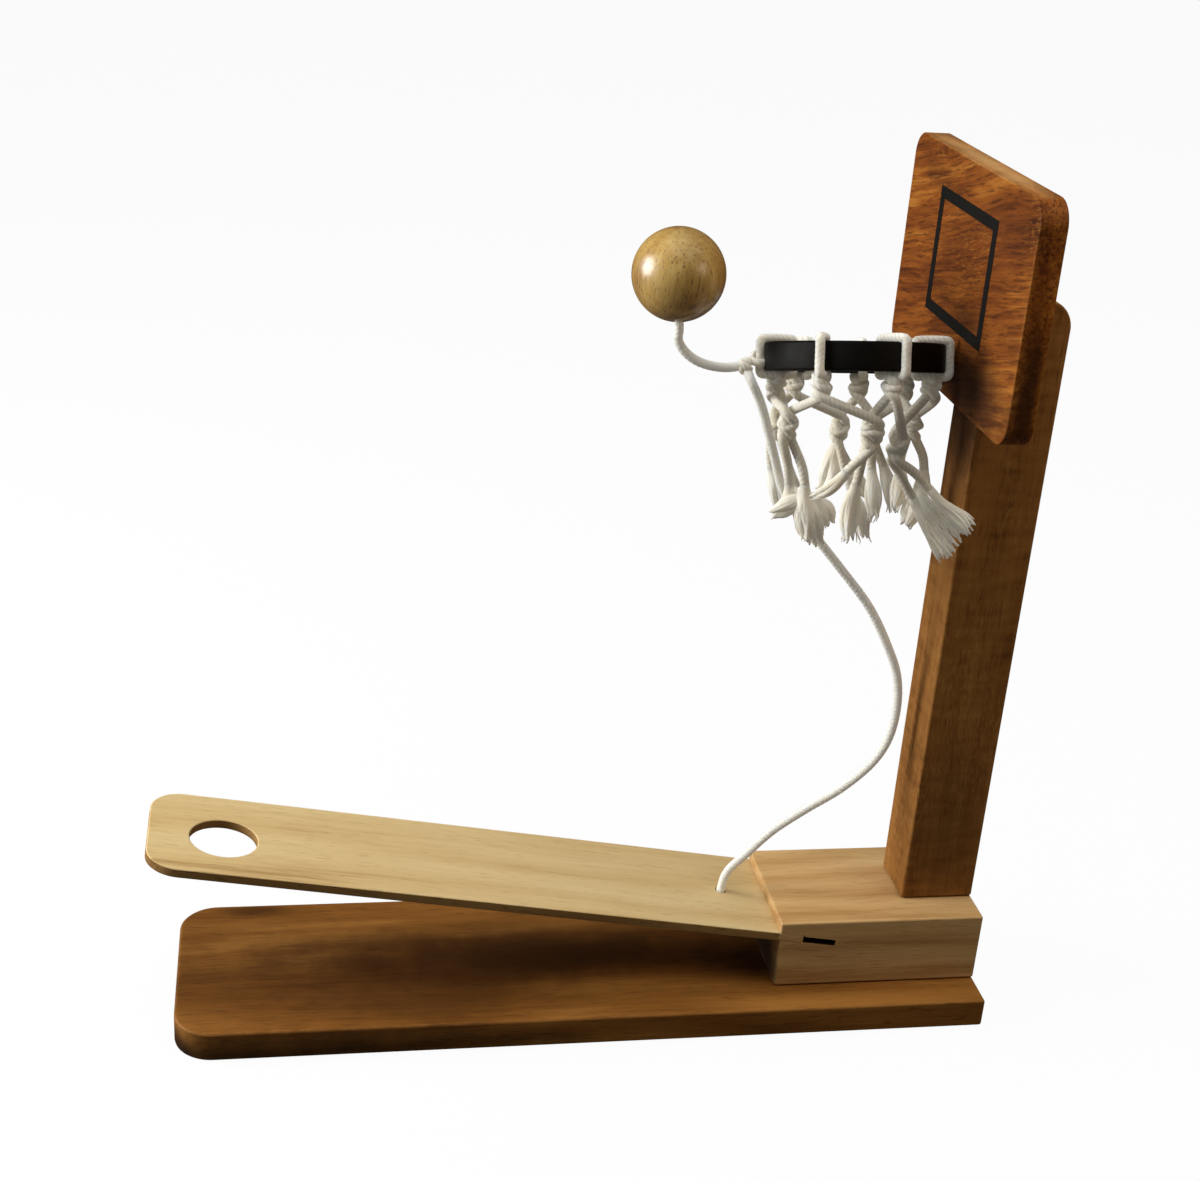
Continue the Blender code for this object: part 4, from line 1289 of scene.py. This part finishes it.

# Centre, reach, strength and tone of each soft patch. The first is a dark smudge in the wood,
# and the fifth darkens the board towards its left end. The rest are painted: the slat's shadow
# on the top and shade on the near side, some in the darkest, last tone, and painted light on the
# strip in front of the block.
BASE_STAINS_SHADE_AND_LIGHT = (
    ((-0.114, 0.034, BASE_THICKNESS), (0.018, 0.006, 0.02), 0.8, 0),
    ((-0.070, 0.012, BASE_THICKNESS), (0.040, 0.010, 0.02), 0.4, 0),
    ((-0.025, 0.000, BASE_THICKNESS), (0.120, 0.024, 0.02), 0.85, 0),
    ((0.058, -0.008, BASE_THICKNESS), (0.026, 0.018, 0.02), 0.60, 4),
    ((-0.150, 0.0, 0.0), (0.110, 0.060, 0.03), 0.55, 0),
    ((-0.060, -0.020, BASE_THICKNESS), (0.080, 0.022, 0.02), 0.60, 0),
    ((-0.085, -0.040, 0.0), (0.130, 0.010, 0.014), 0.75, 4),
    ((-0.145, -0.032, 0.0), (0.036, 0.016, 0.012), 0.85, 4),
    ((0.100, -0.034, BASE_THICKNESS), (0.080, 0.008, 0.003), 0.45, 3),
)
base_wood = wood(
    "oiled_dark_wood_base", BASE_BOX, ALONG_X, (0.31, 0.045, 0.06),
    ((66, 37, 12), (124, 78, 30), (144, 94, 40), (174, 120, 56), (26, 13, 5)), ring_gap=0.014,
    shares=(0.68, 0.12, 0.30), pore_depth=0.30, contrast=1.3, lines=0.14, patches=BASE_STAINS_SHADE_AND_LIGHT,
)
hand_over(base, base_wood, "dark_wood", "stand", "base_board")
print("base board:", len(base.data.polygons), "faces")

# %% [markdown]
# ## Slotted block
# The block is pale wood, sawn across for the slat. The slot slopes as the slat does, and the
# narrower saw kerf runs on behind it: that is the dark slit on the block's side.

# %% Block
BLOCK_LENGTH, BLOCK_WIDTH = 0.0738, 0.048
BLOCK_BOTTOM, BLOCK_TOP = 0.0109, 0.0366
BLOCK_FRONT = END_X - BLOCK_LENGTH
BLOCK_BOX = ((BLOCK_FRONT, -BLOCK_WIDTH / 2, BLOCK_BOTTOM), (END_X, BLOCK_WIDTH / 2, BLOCK_TOP))
SLOT_DEPTH, KERF_DEPTH, KERF_HEIGHT = 0.0090, 0.0205, 0.0022
GLUE_GAP, BLOCK_EASE = 0.00003, 0.0007
SCREW_HOLE_TOP = 0.0209
DOWEL_RADIUS = 0.0025
DOWEL_HOLE = DOWEL_RADIUS + GAP
POST_DOWEL_DEPTH = 0.011
POST_DOWEL_PLACES = (0.12125, 0.13225)


def saw_cut(start, depth, height):
    """A box across the block, turned to the slat's slope."""
    tool = start_box("saw", (start, -BLOCK_WIDTH, -height / 2), (depth, BLOCK_WIDTH, height / 2))
    tool.matrix_world = TO_SLAT
    return settle(tool, "saw")


block = start_box("block_slotted", *BLOCK_BOX)
round_edges(block, lambda a, b: True, BLOCK_EASE, 3)
cut(block, saw_cut(-DRILL_LEAD, SLOT_DEPTH, SLAT_THICKNESS + 2 * GLUE_GAP))
cut(block, saw_cut(0, KERF_DEPTH, KERF_HEIGHT))
for x in SCREW_PLACES:
    drill(block, SCREW_SHANK + GAP, (x, 0, 0), (x, 0, SCREW_HOLE_TOP))
for x in POST_DOWEL_PLACES:
    drill(block, DOWEL_HOLE, (x, 0, BLOCK_TOP - POST_DOWEL_DEPTH), (x, 0, BLOCK_TOP + DRILL_LEAD))
smooth_faces(block)

# Painted shade on the block's front face under the slat, in the darkest, last tone.
BLOCK_SHADE_PATCHES = (((BLOCK_FRONT, 0.0, BLOCK_BOTTOM), (0.0009, 0.060, 0.030), 0.95, 4),)
BLOCK_GRAIN = dict(
    box=BLOCK_BOX, turn=ALONG_X, shift=(0.12, 0.050, 0.052), ring_gap=0.011,
    shares=(0.42, 0.18, 0.36), pore_depth=0.25,
)
block_wood = wood(
    "oiled_pale_wood_block", **BLOCK_GRAIN,
    tones=((154, 110, 60), (196, 156, 102), (211, 173, 119), (222, 189, 137), (34, 21, 11)),
    wear=0.15, contrast=1.1, lines=0.15, patches=BLOCK_SHADE_PATCHES,
)
hand_over(block, block_wood, "light_wood", "stand", "spring_block")
# A near-black copy of the block's wood for the faces inside the kerf: painted shade in the slit.
kerf_shade_wood = wood(
    "saw_kerf_painted_shade", **BLOCK_GRAIN,
    tones=((16, 9, 4), (30, 17, 8), (38, 22, 10), (54, 32, 15)), roughness=0.70, wear=0.0,
)
block.data.materials.append(kerf_shade_wood)
SKIN = 0.0001
for face in block.data.polygons:
    spot = TO_SLAT.inverted() @ face.center
    inside = abs(spot.z) < KERF_HEIGHT / 2 + SKIN and abs(spot.y) < BLOCK_WIDTH / 2 - 10 * SKIN
    if inside and spot.x > SLOT_DEPTH - SKIN:
        face.material_index = 1
print("block:", len(block.data.polygons), "faces")

# %% [markdown]
# ## Launcher slat
# A thin pale slat, glued in the slot, with a hole that holds the ball near its round tip and
# a small one for the tether. It is one piece of wood that bends where it leaves the block, so
# it is one mesh, cut across over the first centimetres where it bends.

# %% Slat
SLAT_LENGTH, SLAT_WIDTH = 0.2173, 0.048
SLAT_TIP_RADIUS, SLAT_EASE = 0.011, 0.0005
CORD_HOLE_RADIUS = 0.0018
BALL_HOLE_RADIUS, BALL_HOLE_DISTANCE, BALL_HOLE_OFFSET = 0.0113, 0.1924, -0.002
BALL_HOLE_SIDES = 72
BEND_FIRST, BEND_STEP, BEND_COUNT = 0.0040, 0.0015, 14
SLAT_BOX = (
    (-SLAT_LENGTH, -SLAT_WIDTH / 2, -SLAT_HALF), (SLOT_DEPTH - GAP, SLAT_WIDTH / 2, SLAT_HALF),
)

slat = start_box("slat_launcher", *SLAT_BOX)
round_edges(slat, lambda a, b: max(a.x, b.x) < 0 and runs(a, b, 2), SLAT_TIP_RADIUS)
ball_hole = Vector((-BALL_HOLE_DISTANCE, BALL_HOLE_OFFSET, 0))
cord_hole = Vector((-CORD_HOLE_DISTANCE, 0, 0))
lead = Vector((0, 0, DRILL_LEAD))
drill(slat, BALL_HOLE_RADIUS, ball_hole - lead, ball_hole + lead, BALL_HOLE_SIDES)
drill(slat, CORD_HOLE_RADIUS, cord_hole - lead, cord_hole + lead)
ease(slat, SLAT_EASE)
edit(slat)
for step in range(BEND_COUNT):
    place = (BEND_FIRST - BEND_STEP * step, 0, 0)
    on_all(bpy.ops.mesh.bisect, plane_co=place, plane_no=(1, 0, 0))
leave_edit()
smooth_faces(slat)
slat.matrix_world = TO_SLAT
settle(slat, "slat_launcher")

SLAT_GRAIN = dict(
    box=((-0.15, -SLAT_WIDTH / 2, 0), (0.08, SLAT_WIDTH / 2, 0.08)), turn=(0, -SLAT_SLOPE, 0),
    shift=(0.2, 0.09, 0.011), ring_gap=0.020, pore=(170, 1500, 1500), wear=0.0, wave=0.0008,
)
slat_wood = wood(
    "oiled_pale_wood_slat", **SLAT_GRAIN,
    tones=((144, 104, 54), (206, 176, 122), (216, 190, 138), (225, 202, 154)),
    shares=(0.56, 0.12, 0.32), pore_depth=0.18, contrast=1.15,
)
# A darker copy of the slat's wood for its edges and the walls of its holes: painted shade where
# little light falls.
shaded_edge_wood = wood(
    "oiled_pale_wood_shaded_edges", **SLAT_GRAIN,
    tones=((80, 52, 24), (142, 106, 60), (160, 124, 74), (178, 144, 92)),
    shares=(0.50, 0.12, 0.36), pore_depth=0.42, roughness=0.60,
)
slat.data.materials.clear()
for finish in (slat_wood, shaded_edge_wood, block_wood):
    slat.data.materials.append(finish)
upright = TO_SLAT.to_3x3() @ Vector((0, 0, 1))
for face in slat.data.polygons:
    if abs(face.normal.dot(upright)) < 0.5:
        face.material_index = 1 if face.center.x < SLAT_PIVOT.x else 2
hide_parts("launcher_arm", "arm_tongue")
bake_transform(slat)
print("slat:", len(slat.data.polygons), "faces")

# %% [markdown]
# ## Post
# A square post of the dark wood, its grain upright, with the top edge at its back rounded.
# Dowels that nobody sees hold it to the block and hold the backboard to it.

# %% Post
POST_FRONT, POST_WIDTH = 0.1135, 0.022
POST_BOTTOM, POST_TOP, POST_TOP_RADIUS = 0.0369, 0.2562, 0.0095
POST_BOX = ((POST_FRONT, -POST_WIDTH / 2, POST_BOTTOM), (END_X, POST_WIDTH / 2, POST_TOP))
BOARD_FRONT, BOARD_BACK = 0.1046, 0.1132
BOARD_DOWEL_HEIGHTS = (0.2410, 0.2500)
BOARD_DOWEL_DEPTH = 0.0055

post = start_box("post_upright", *POST_BOX)
back, upper = POST_FRONT + LEAST_RUN, POST_BOTTOM + LEAST_RUN
round_edges(
    post, lambda a, b: min(a.x, b.x) > back and min(a.z, b.z) > upper, POST_TOP_RADIUS)
start, end = POST_BOTTOM - DRILL_LEAD, POST_BOTTOM + POST_DOWEL_DEPTH
for x in POST_DOWEL_PLACES:
    drill(post, DOWEL_HOLE, (x, 0, start), (x, 0, end))
start, end = POST_FRONT - DRILL_LEAD, POST_FRONT + BOARD_DOWEL_DEPTH
for z in BOARD_DOWEL_HEIGHTS:
    drill(post, DOWEL_HOLE, (start, 0, z), (end, 0, z))
ease(post, BOARD_EASE)
smooth_faces(post)

# Painted shadow of the net high on the post's front face, in the darkest, last tone, and painted
# shade low on its near face.
POST_SHADE_PATCHES = (
    ((POST_FRONT, 0.0, 0.2120), (0.004, 0.025, 0.030), 0.75, 4),
    ((0.127, -POST_WIDTH / 2, 0.0700), (0.018, 0.002, 0.050), 0.35, 0),
)
post_wood = wood(
    "oiled_dark_wood_post", POST_BOX, ALONG_Z, (0.1, 0.014, 0.075),
    ((76, 43, 17), (136, 89, 40), (154, 106, 52), (182, 132, 72), (52, 29, 13)), ring_gap=0.012,
    shares=(0.46, 0.10, 0.42), pore_depth=0.30, flecks=0.35, curl=0.45, contrast=0.95, lines=0.10,
    patches=POST_SHADE_PATCHES,
)
hand_over(post, post_wood, "dark_wood", "stand", "post")
print("post:", len(post.data.polygons), "faces")

# %% [markdown]
# ## Backboard
# The backboard is the showy piece: orange-brown wood with flecks across its grain, which
# runs from side to side. Its corners are round and its edges eased.

# %% Backboard
BOARD_WIDTH, BOARD_BOTTOM, BOARD_TOP = 0.111, 0.2220, 0.2960
BOARD_CORNER, BACKBOARD_EASE = 0.008, 0.0010
BOARD_BOX = (
    (BOARD_FRONT, -BOARD_WIDTH / 2, BOARD_BOTTOM), (BOARD_BACK, BOARD_WIDTH / 2, BOARD_TOP),
)
PEG_RADIUS, PEG_DEPTH = 0.0025, 0.0055

board = start_box("board_back", *BOARD_BOX)
round_edges(board, lambda a, b: runs(a, b, 0), BOARD_CORNER)
start, end = BOARD_BACK - BOARD_DOWEL_DEPTH, BOARD_BACK + DRILL_LEAD
for z in BOARD_DOWEL_HEIGHTS:
    drill(board, DOWEL_HOLE, (start, 0, z), (end, 0, z))
start, end = BOARD_FRONT - DRILL_LEAD, BOARD_FRONT + PEG_DEPTH + GAP
drill(board, PEG_RADIUS + GAP, (start, 0, HOOP_CENTRE.z), (end, 0, HOOP_CENTRE.z))
ease(board, BACKBOARD_EASE)
smooth_faces(board)

BOARD_GRAIN_TILT = math.radians(16)
# The first four patches make the front darker in places. The rest are painted: the hoop's and the
# net's shadow low on the front and shade low on the near side, mostly in the darkest, last tone,
# and light along the top edge in the palest.
BOARD_FIGURE_SHADE_AND_LIGHT = (
    ((BOARD_FRONT, -0.014, 0.2520), (0.005, 0.018, 0.007), 0.35, 0),
    ((BOARD_FRONT, 0.020, 0.2530), (0.005, 0.020, 0.004), 0.35, 0),
    ((BOARD_FRONT, 0.030, 0.2860), (0.005, 0.025, 0.006), 0.35, 0),
    ((BOARD_FRONT, -0.048, 0.2530), (0.005, 0.012, 0.008), 0.25, 0),
    ((0.109, -0.056, 0.2350), (0.006, 0.004, 0.034), 0.85, 5),
    ((BOARD_FRONT, -0.030, 0.2340), (0.006, 0.024, 0.017), 0.60, 5),
    ((BOARD_FRONT, -0.010, 0.2480), (0.006, 0.016, 0.007), 0.40, 5),
    ((BOARD_FRONT, -0.018, 0.2290), (0.006, 0.034, 0.017), 0.85, 5),
    ((BOARD_FRONT, -0.045, 0.2300), (0.006, 0.024, 0.014), 0.40, 0),
    ((0.109, 0.0, 0.2968), (0.008, 0.090, 0.0020), 0.9, 4),
)
board_wood = wood(
    "figured_wood_board", BOARD_BOX, (BOARD_GRAIN_TILT, 0, -math.pi / 2), (0.4, -0.03, -0.20),
    ((60, 26, 7), (113, 58, 17), (142, 79, 24), (182, 118, 46), (206, 160, 102), (46, 24, 11)),
    ring_gap=0.010, shares=(0.32, 0.12, 0.60), pore_depth=0.35, flecks=0.3, wave=0.003,
    contrast=1.5, lines=0.6, streak=(28, 500, 500), line=(66, 860, 860), patches=BOARD_FIGURE_SHADE_AND_LIGHT,
)
hand_over(board, board_wood, "dark_wood", "stand", "backboard")
print("board:", len(board.data.polygons), "faces")

# %% [markdown]
# ## Painted square
# A dark square is painted on the board above the hoop. Paint has a thickness, so it is a thin
# frame that stands on the wood: a plane, inset, with its middle deleted, then extruded.

# %% Painted square
SQUARE_HALF, SQUARE_LOW, SQUARE_HIGH = 0.0256, 0.2435, 0.2836
SQUARE_LINE, PAINT_THICKNESS, PAINT_EASE = 0.0037, 0.00012, 0.00005

square_middle = (BOARD_FRONT, 0, (SQUARE_LOW + SQUARE_HIGH) / 2)
square = start_sheet(
    "square_painted", SQUARE_HIGH - SQUARE_LOW, 2 * SQUARE_HALF, square_middle,
    (0, -math.pi / 2, 0))
edit(square)
on_all(bpy.ops.mesh.inset, thickness=SQUARE_LINE, depth=0)
bpy.ops.mesh.delete(type="FACE")
lift = {"value": (-PAINT_THICKNESS, 0, 0)}
on_all(bpy.ops.mesh.extrude_region_move, TRANSFORM_OT_translate=lift)
on_all(bpy.ops.mesh.normals_make_consistent, inside=False)
leave_edit()
ease(square, PAINT_EASE, 2)


def paint(name, dark, worn, roughness, brush, scuff):
    """A thin coat of dark paint: brush marks along one axis, paler where it has rubbed off."""
    dark, worn = linear(*dark), linear(*worn)
    finish = Finish(name)
    place = finish.placed()
    strokes = finish.noise(place, brush, 3, 0.6)
    dust = finish.step(finish.noise(place, (900, 900, 900), 3, 0.7), 0.62, 0.78)
    rubbed = finish.step(finish.noise(place, (130, 130, 130), 4, 0.65), 0.60, 0.74) * scuff
    colour = finish.mix(strokes * 0.5, dark, worn)
    colour = finish.mix(rubbed + dust * 0.25, colour, worn)
    finish.shade(
        Base_Color=colour,
        Roughness=roughness + strokes * 0.2 + dust * 0.1,
        Normal=finish.bump(strokes * 0.7 + dust * 0.3, 0.00006, 0.6),
        Specular_IOR_Level=0.15,
    )
    return finish.material


square_paint = paint(
    "black_line_paint", (12, 12, 9), (30, 26, 20), roughness=0.50, brush=(500, 60, 60), scuff=0.2)
hand_over(square, square_paint, "hoop_paint", "stand")
print("square:", len(square.data.polygons), "faces")

# %% [markdown]
# ## Hoop
# The hoop is a turned wooden ring, painted black. A small rectangle is its cross-section: it
# is rounded at the corners, loses its face, so that no wall is left inside the ring, and is
# spun about the ring's axis with the spin operator. The ring is rolled a little on its peg.

# %% Hoop
RING_STEPS, RING_ROUNDING, ROUNDING_STEPS = 96, 0.0009, 4
MERGE_DISTANCE = 0.00001

wall_middle = (HOOP_RADIUS - HOOP_WALL / 2, 0, 0)
ring = start_sheet("ring_hoop", HOOP_WALL, HOOP_HEIGHT, wall_middle, (math.pi / 2, 0, 0))
edit(ring)
on_all(bpy.ops.mesh.bevel, offset=RING_ROUNDING, segments=ROUNDING_STEPS, affect="VERTICES")
on_all(bpy.ops.mesh.delete, type="ONLY_FACE")
on_all(bpy.ops.mesh.spin, steps=RING_STEPS, angle=math.tau, center=(0, 0, 0), axis=(0, 0, 1))
on_all(bpy.ops.mesh.remove_doubles, threshold=MERGE_DISTANCE)
on_all(bpy.ops.mesh.normals_make_consistent, inside=False)
leave_edit()
ring.matrix_world = Matrix.Translation(HOOP_CENTRE) @ Matrix.Rotation(-HOOP_ROLL, 4, "X")
settle(ring, "ring_hoop")
smooth(ring)
ring_paint = paint(
    "black_hoop_paint", (7, 6, 4), (26, 22, 17), roughness=0.45, brush=(220, 220, 220), scuff=0.35)
hand_over(ring, ring_paint, "hoop_paint", "stand", "hoop_ring")
print("hoop:", len(ring.data.polygons), "faces")

# %% [markdown]
# ## Ball
# A turned wooden ball under gloss varnish, with the bore that holds the cord's end. The drill
# has an odd number of sides, so that its edges miss the ball's own. The wood shows fine upright
# pores; the varnish is a clear coat with its own sharper highlights.

# %% Ball
BALL_SEGMENTS, BALL_RINGS, BORE_SIDES = 96, 48, 31
BALL_TONES = ((0.30, (148, 104, 44)), (0.5, (194, 156, 84)), (0.68, (216, 186, 118)))
BALL_DARKER_TONE, BALL_PORES = linear(132, 86, 34), linear(92, 60, 24)
# The patches make the ball darker low on its near side and a little on top.
BALL_PATCHES = (
    (BALL_CENTRE + Vector((0, -0.006, -0.013)), (0.013, 0.013, 0.010), 0.45, 0),
    (BALL_CENTRE + Vector((0, 0, 0.014)), (0.014, 0.014, 0.008), 0.30, 0),
)

deselect()
bpy.ops.mesh.primitive_uv_sphere_add(
    segments=BALL_SEGMENTS, ring_count=BALL_RINGS, radius=BALL_DIAMETER / 2, location=BALL_CENTRE)
ball = settle(bpy.context.object, "ball_turned")
drill_start, drill_end = bore_end - BORE_AXIS * GAP, BALL_CENTRE + BORE_AXIS * BALL_DIAMETER
drill(ball, CORD_HOLE_RADIUS, drill_start, drill_end, BORE_SIDES)
smooth(ball)


def varnished_wood(name):
    finish = Finish(name)
    place = finish.placed(ALONG_Z, (-BALL_CENTRE.z, -BALL_CENTRE.y, BALL_CENTRE.x))
    bands = finish.noise(place, (24, 90, 90), 3, 0.6)
    streaks = finish.noise(place, (60, 700, 700), 3, 0.6)
    stops = [(place, linear(*tone)) for place, tone in BALL_TONES]
    colour = finish.add("ValToRGB", {"stops": stops}, {0: bands * 0.7 + streaks * 0.3})
    colour = patched(finish, colour, BALL_PATCHES, (BALL_DARKER_TONE,))
    pores = finish.step(finish.noise(place, (240, 1700, 1700), 1), 0.60, 0.70)
    colour = finish.mix(pores * 0.6, colour, BALL_PORES)
    finish.shade(
        Base_Color=colour,
        Roughness=streaks * 0.1 + 0.30,
        Normal=finish.bump(pores * -1.0, 0.00008, 0.5),
        Coat_Weight=0.7,
        Coat_Roughness=0.26,
    )
    return finish.material


hand_over(ball, varnished_wood("varnished_ball_wood"), "ball_wood", "ball_on_cord", "ball")
print("ball:", len(ball.data.polygons), "faces")

# %% [markdown]
# ## Screws
# Two countersunk screws hold the base to the block from beneath. Only their heads show, so
# the head is a short cone with a cross recess cut into it; the shank is a plain rod.

# %% Screws
SCREW_LENGTH, SCREW_POINT = 0.020, 0.004
RECESS_LENGTH, RECESS_WIDTH, RECESS_DEPTH = 0.0040, 0.0009, 0.0013
RECESS_LEAD, SCREW_EASE, SCREW_SIDES = 0.001, 0.0001, 32


def steel(name):
    finish = Finish(name)
    place = finish.placed()
    scratches = finish.noise(place, (1800, 200, 1800), 3, 0.6)
    stain = finish.step(finish.noise(place, (500, 500, 500), 3), 0.5, 0.7)
    finish.shade(
        Base_Color=finish.mix(stain * 0.5, linear(176, 176, 178), linear(120, 116, 108)),
        Roughness=scratches * 0.25 + 0.22,
        Metallic=1.0,
        Normal=finish.bump(scratches, 0.00003, 0.5),
    )
    return finish.material


def make_screw(number, x):
    """A cone for the head; its upper face is drawn out to the shank and on to a point."""
    deselect()
    bpy.ops.mesh.primitive_cone_add(
        vertices=SCREW_SIDES, radius1=SCREW_HEAD, radius2=SCREW_SHANK, depth=SCREW_HEAD_HEIGHT,
        location=(x, 0, (SCREW_SINK + HEAD_TOP) / 2))
    screw = settle(bpy.context.object, "screw_%d" % number)
    shape = edit(screw, "FACE")
    for face in shape.faces:
        face.select_set(face.normal.z > 0.9)
    bmesh.update_edit_mesh(screw.data)
    for length in (SCREW_LENGTH - SCREW_HEAD_HEIGHT - SCREW_POINT, SCREW_POINT):
        bpy.ops.mesh.extrude_region_move(TRANSFORM_OT_translate={"value": (0, 0, length)})
    bpy.ops.mesh.merge(type="CENTER")
    leave_edit()
    low, high = SCREW_SINK - RECESS_LEAD, SCREW_SINK + RECESS_DEPTH
    for a, b in ((RECESS_LENGTH, RECESS_WIDTH), (RECESS_WIDTH, RECESS_LENGTH)):
        cut(screw, start_box("recess", (x - a / 2, -b / 2, low), (x + a / 2, b / 2, high)))
    ease(screw, SCREW_EASE, 2)
    smooth_faces(screw)
    return screw


screw_steel = steel("plain_screw_steel")
for number, x in enumerate(SCREW_PLACES, start=1):
    screw = make_screw(number, x)
    hand_over(screw, screw_steel, "screw_steel", "stand", "block_screw_%d" % number)
    print(screw.name, len(screw.data.polygons), "faces")

# %% [markdown]
# ## Hidden dowels
# The dowels and the hoop's peg keep their CAD shape, which is all there is to them. They only
# get a plain pale wood with its grain along their length.

# %% Dowels
DOWELS = {
    "post_dowel_1": ALONG_Z, "post_dowel_2": ALONG_Z,
    "board_dowel_1": ALONG_X, "board_dowel_2": ALONG_X, "hoop_peg": ALONG_X,
}
for name, turn in DOWELS.items():
    low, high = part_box(name)
    dowel_wood = wood(
        "dowel_wood_" + name, (tuple(low), tuple(high)), turn, (0.1, 0.03, 0.03),
        ((136, 100, 60), (176, 140, 94), (196, 162, 114), (214, 184, 138)), ring_gap=0.004,
        shares=(0.5, 0.2, 0.35), pore_depth=0.3, roughness=0.55, wear=0.1,
    )
    for material_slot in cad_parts[name].material_slots:
        material_slot.material = dowel_wood
print("dowels:", len(DOWELS))

# %% [markdown]
# ## Floor
# The photograph has a plain white ground. A lit sheet would turn grey towards its edges, so
# rays that come from the camera see most of the floor as plain white, with a soft shadow left.
# To all other rays it is matt and dark, so that the object is lit by the lamps alone.

# %% Floor
FLOOR_SIZE, FLOOR_DROP = 30, 0.0002
FLOOR_GLOW = 0.95
FLOOR_TONE, GROUND_TONE = (0.08, 0.08, 0.08, 1), (0.85, 0.85, 0.85, 1)
WHITE = (1, 1, 1, 1)

deselect()
bpy.ops.mesh.primitive_plane_add(size=FLOOR_SIZE, location=(0, 0, -FLOOR_DROP))
floor = bpy.context.object
floor.name = "floor"
floor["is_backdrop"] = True

floor_finish = Finish("pale_floor")
floor_finish.shade(Base_Color=FLOOR_TONE, Roughness=0.9, Specular_IOR_Level=0.1)
lit = Wire(floor_finish.shader.outputs[0])
white = floor_finish.add("Emission", None, {"Color": WHITE, "Strength": 1.0})
pale = floor_finish.add("BsdfDiffuse", None, {"Color": GROUND_TONE})
ground = floor_finish.add("MixShader", None, {0: FLOOR_GLOW, 1: pale, 2: white})
seen = floor_finish.add("LightPath", None, None, "Is Camera Ray")
shown = floor_finish.add("MixShader", None, {0: seen, 1: lit, 2: ground})
connect(floor_finish.tree.nodes["Material Output"].inputs["Surface"], shown)
floor.data.materials.append(floor_finish.material)
print("floor:", FLOOR_SIZE, "m")

# %% [markdown]
# ## Air
# The air gives a faint warm light from all sides. A picture of a room would do that too, but
# would show in the varnish. The camera sees the air as plain white, so the ground has no
# horizon.

# %% World
AMBIENT, AMBIENT_TINT = 0.06, (1.0, 0.95, 0.88, 1)

world = bpy.data.worlds.new("studio_air")
bpy.context.scene.world = world
world.use_nodes = True


class Air(Finish):
    """The world's node tree, worked on like a finish."""

    def __init__(self, world):
        self.tree = world.node_tree


air = Air(world)
soft = air.add("Background", None, {"Color": AMBIENT_TINT, "Strength": AMBIENT})
bright = air.add("Background", None, {"Color": WHITE, "Strength": 1.0})
camera_ray = air.add("LightPath", None, None, "Is Camera Ray")
sky = air.add("MixShader", None, {0: camera_ray, 1: soft, 2: bright})
connect(world.node_tree.nodes["World Output"].inputs["Surface"], sky)
print("air:", AMBIENT)

# %% [markdown]
# ## Lamps
# The main lamp is a round window at the left, not much higher than the board, so the hoop and
# its net throw their shadow on the board and the post. A broad lamp overhead lights the tops,
# and a weak warm one at the right front lifts the near sides a little.

# %% Lamps
LAMP_TARGET = Vector((0.02, 0, 0.10))

# Place, size, power, tint, and whether it shows as a highlight
LAMPS = {
    "window_left": ((-0.85, 0.12, 0.42), 0.50, 10.0, (1, 1, 1), True),
    "lamp_right": ((0.33, -0.25, 0.42), 0.20, 0.30, (1, 0.80, 0.56), True),
    "ceiling": ((0.05, -0.03, 1.30), 1.60, 12.0, (1, 1, 1), False),
}
for name, (place, size, power, tint, mirrored) in LAMPS.items():
    data = bpy.data.lights.new(name, "AREA")
    data.shape = "DISK"
    data.size = size
    data.energy = power
    data.color = tint
    lamp = bpy.data.objects.new(name, data)
    lamp.location = place
    lamp.visible_camera = False
    lamp.visible_glossy = mirrored
    lamp.rotation_euler = (LAMP_TARGET - Vector(place)).to_track_quat("-Z", "Y").to_euler()
    bpy.context.scene.collection.objects.link(lamp)
bpy.context.scene.view_settings.view_transform = "Standard"
print("lamps:", len(LAMPS))

# %% [markdown]
# ## The dressed model's box
# The box round everything that is shown, but the floor, is printed. The dressed model has to
# stay in the CAD model's box, give or take some cotton.

# %% Finish
low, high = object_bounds()
print("visual box, mm:", [round(x * 1000, 1) for x in high - low])
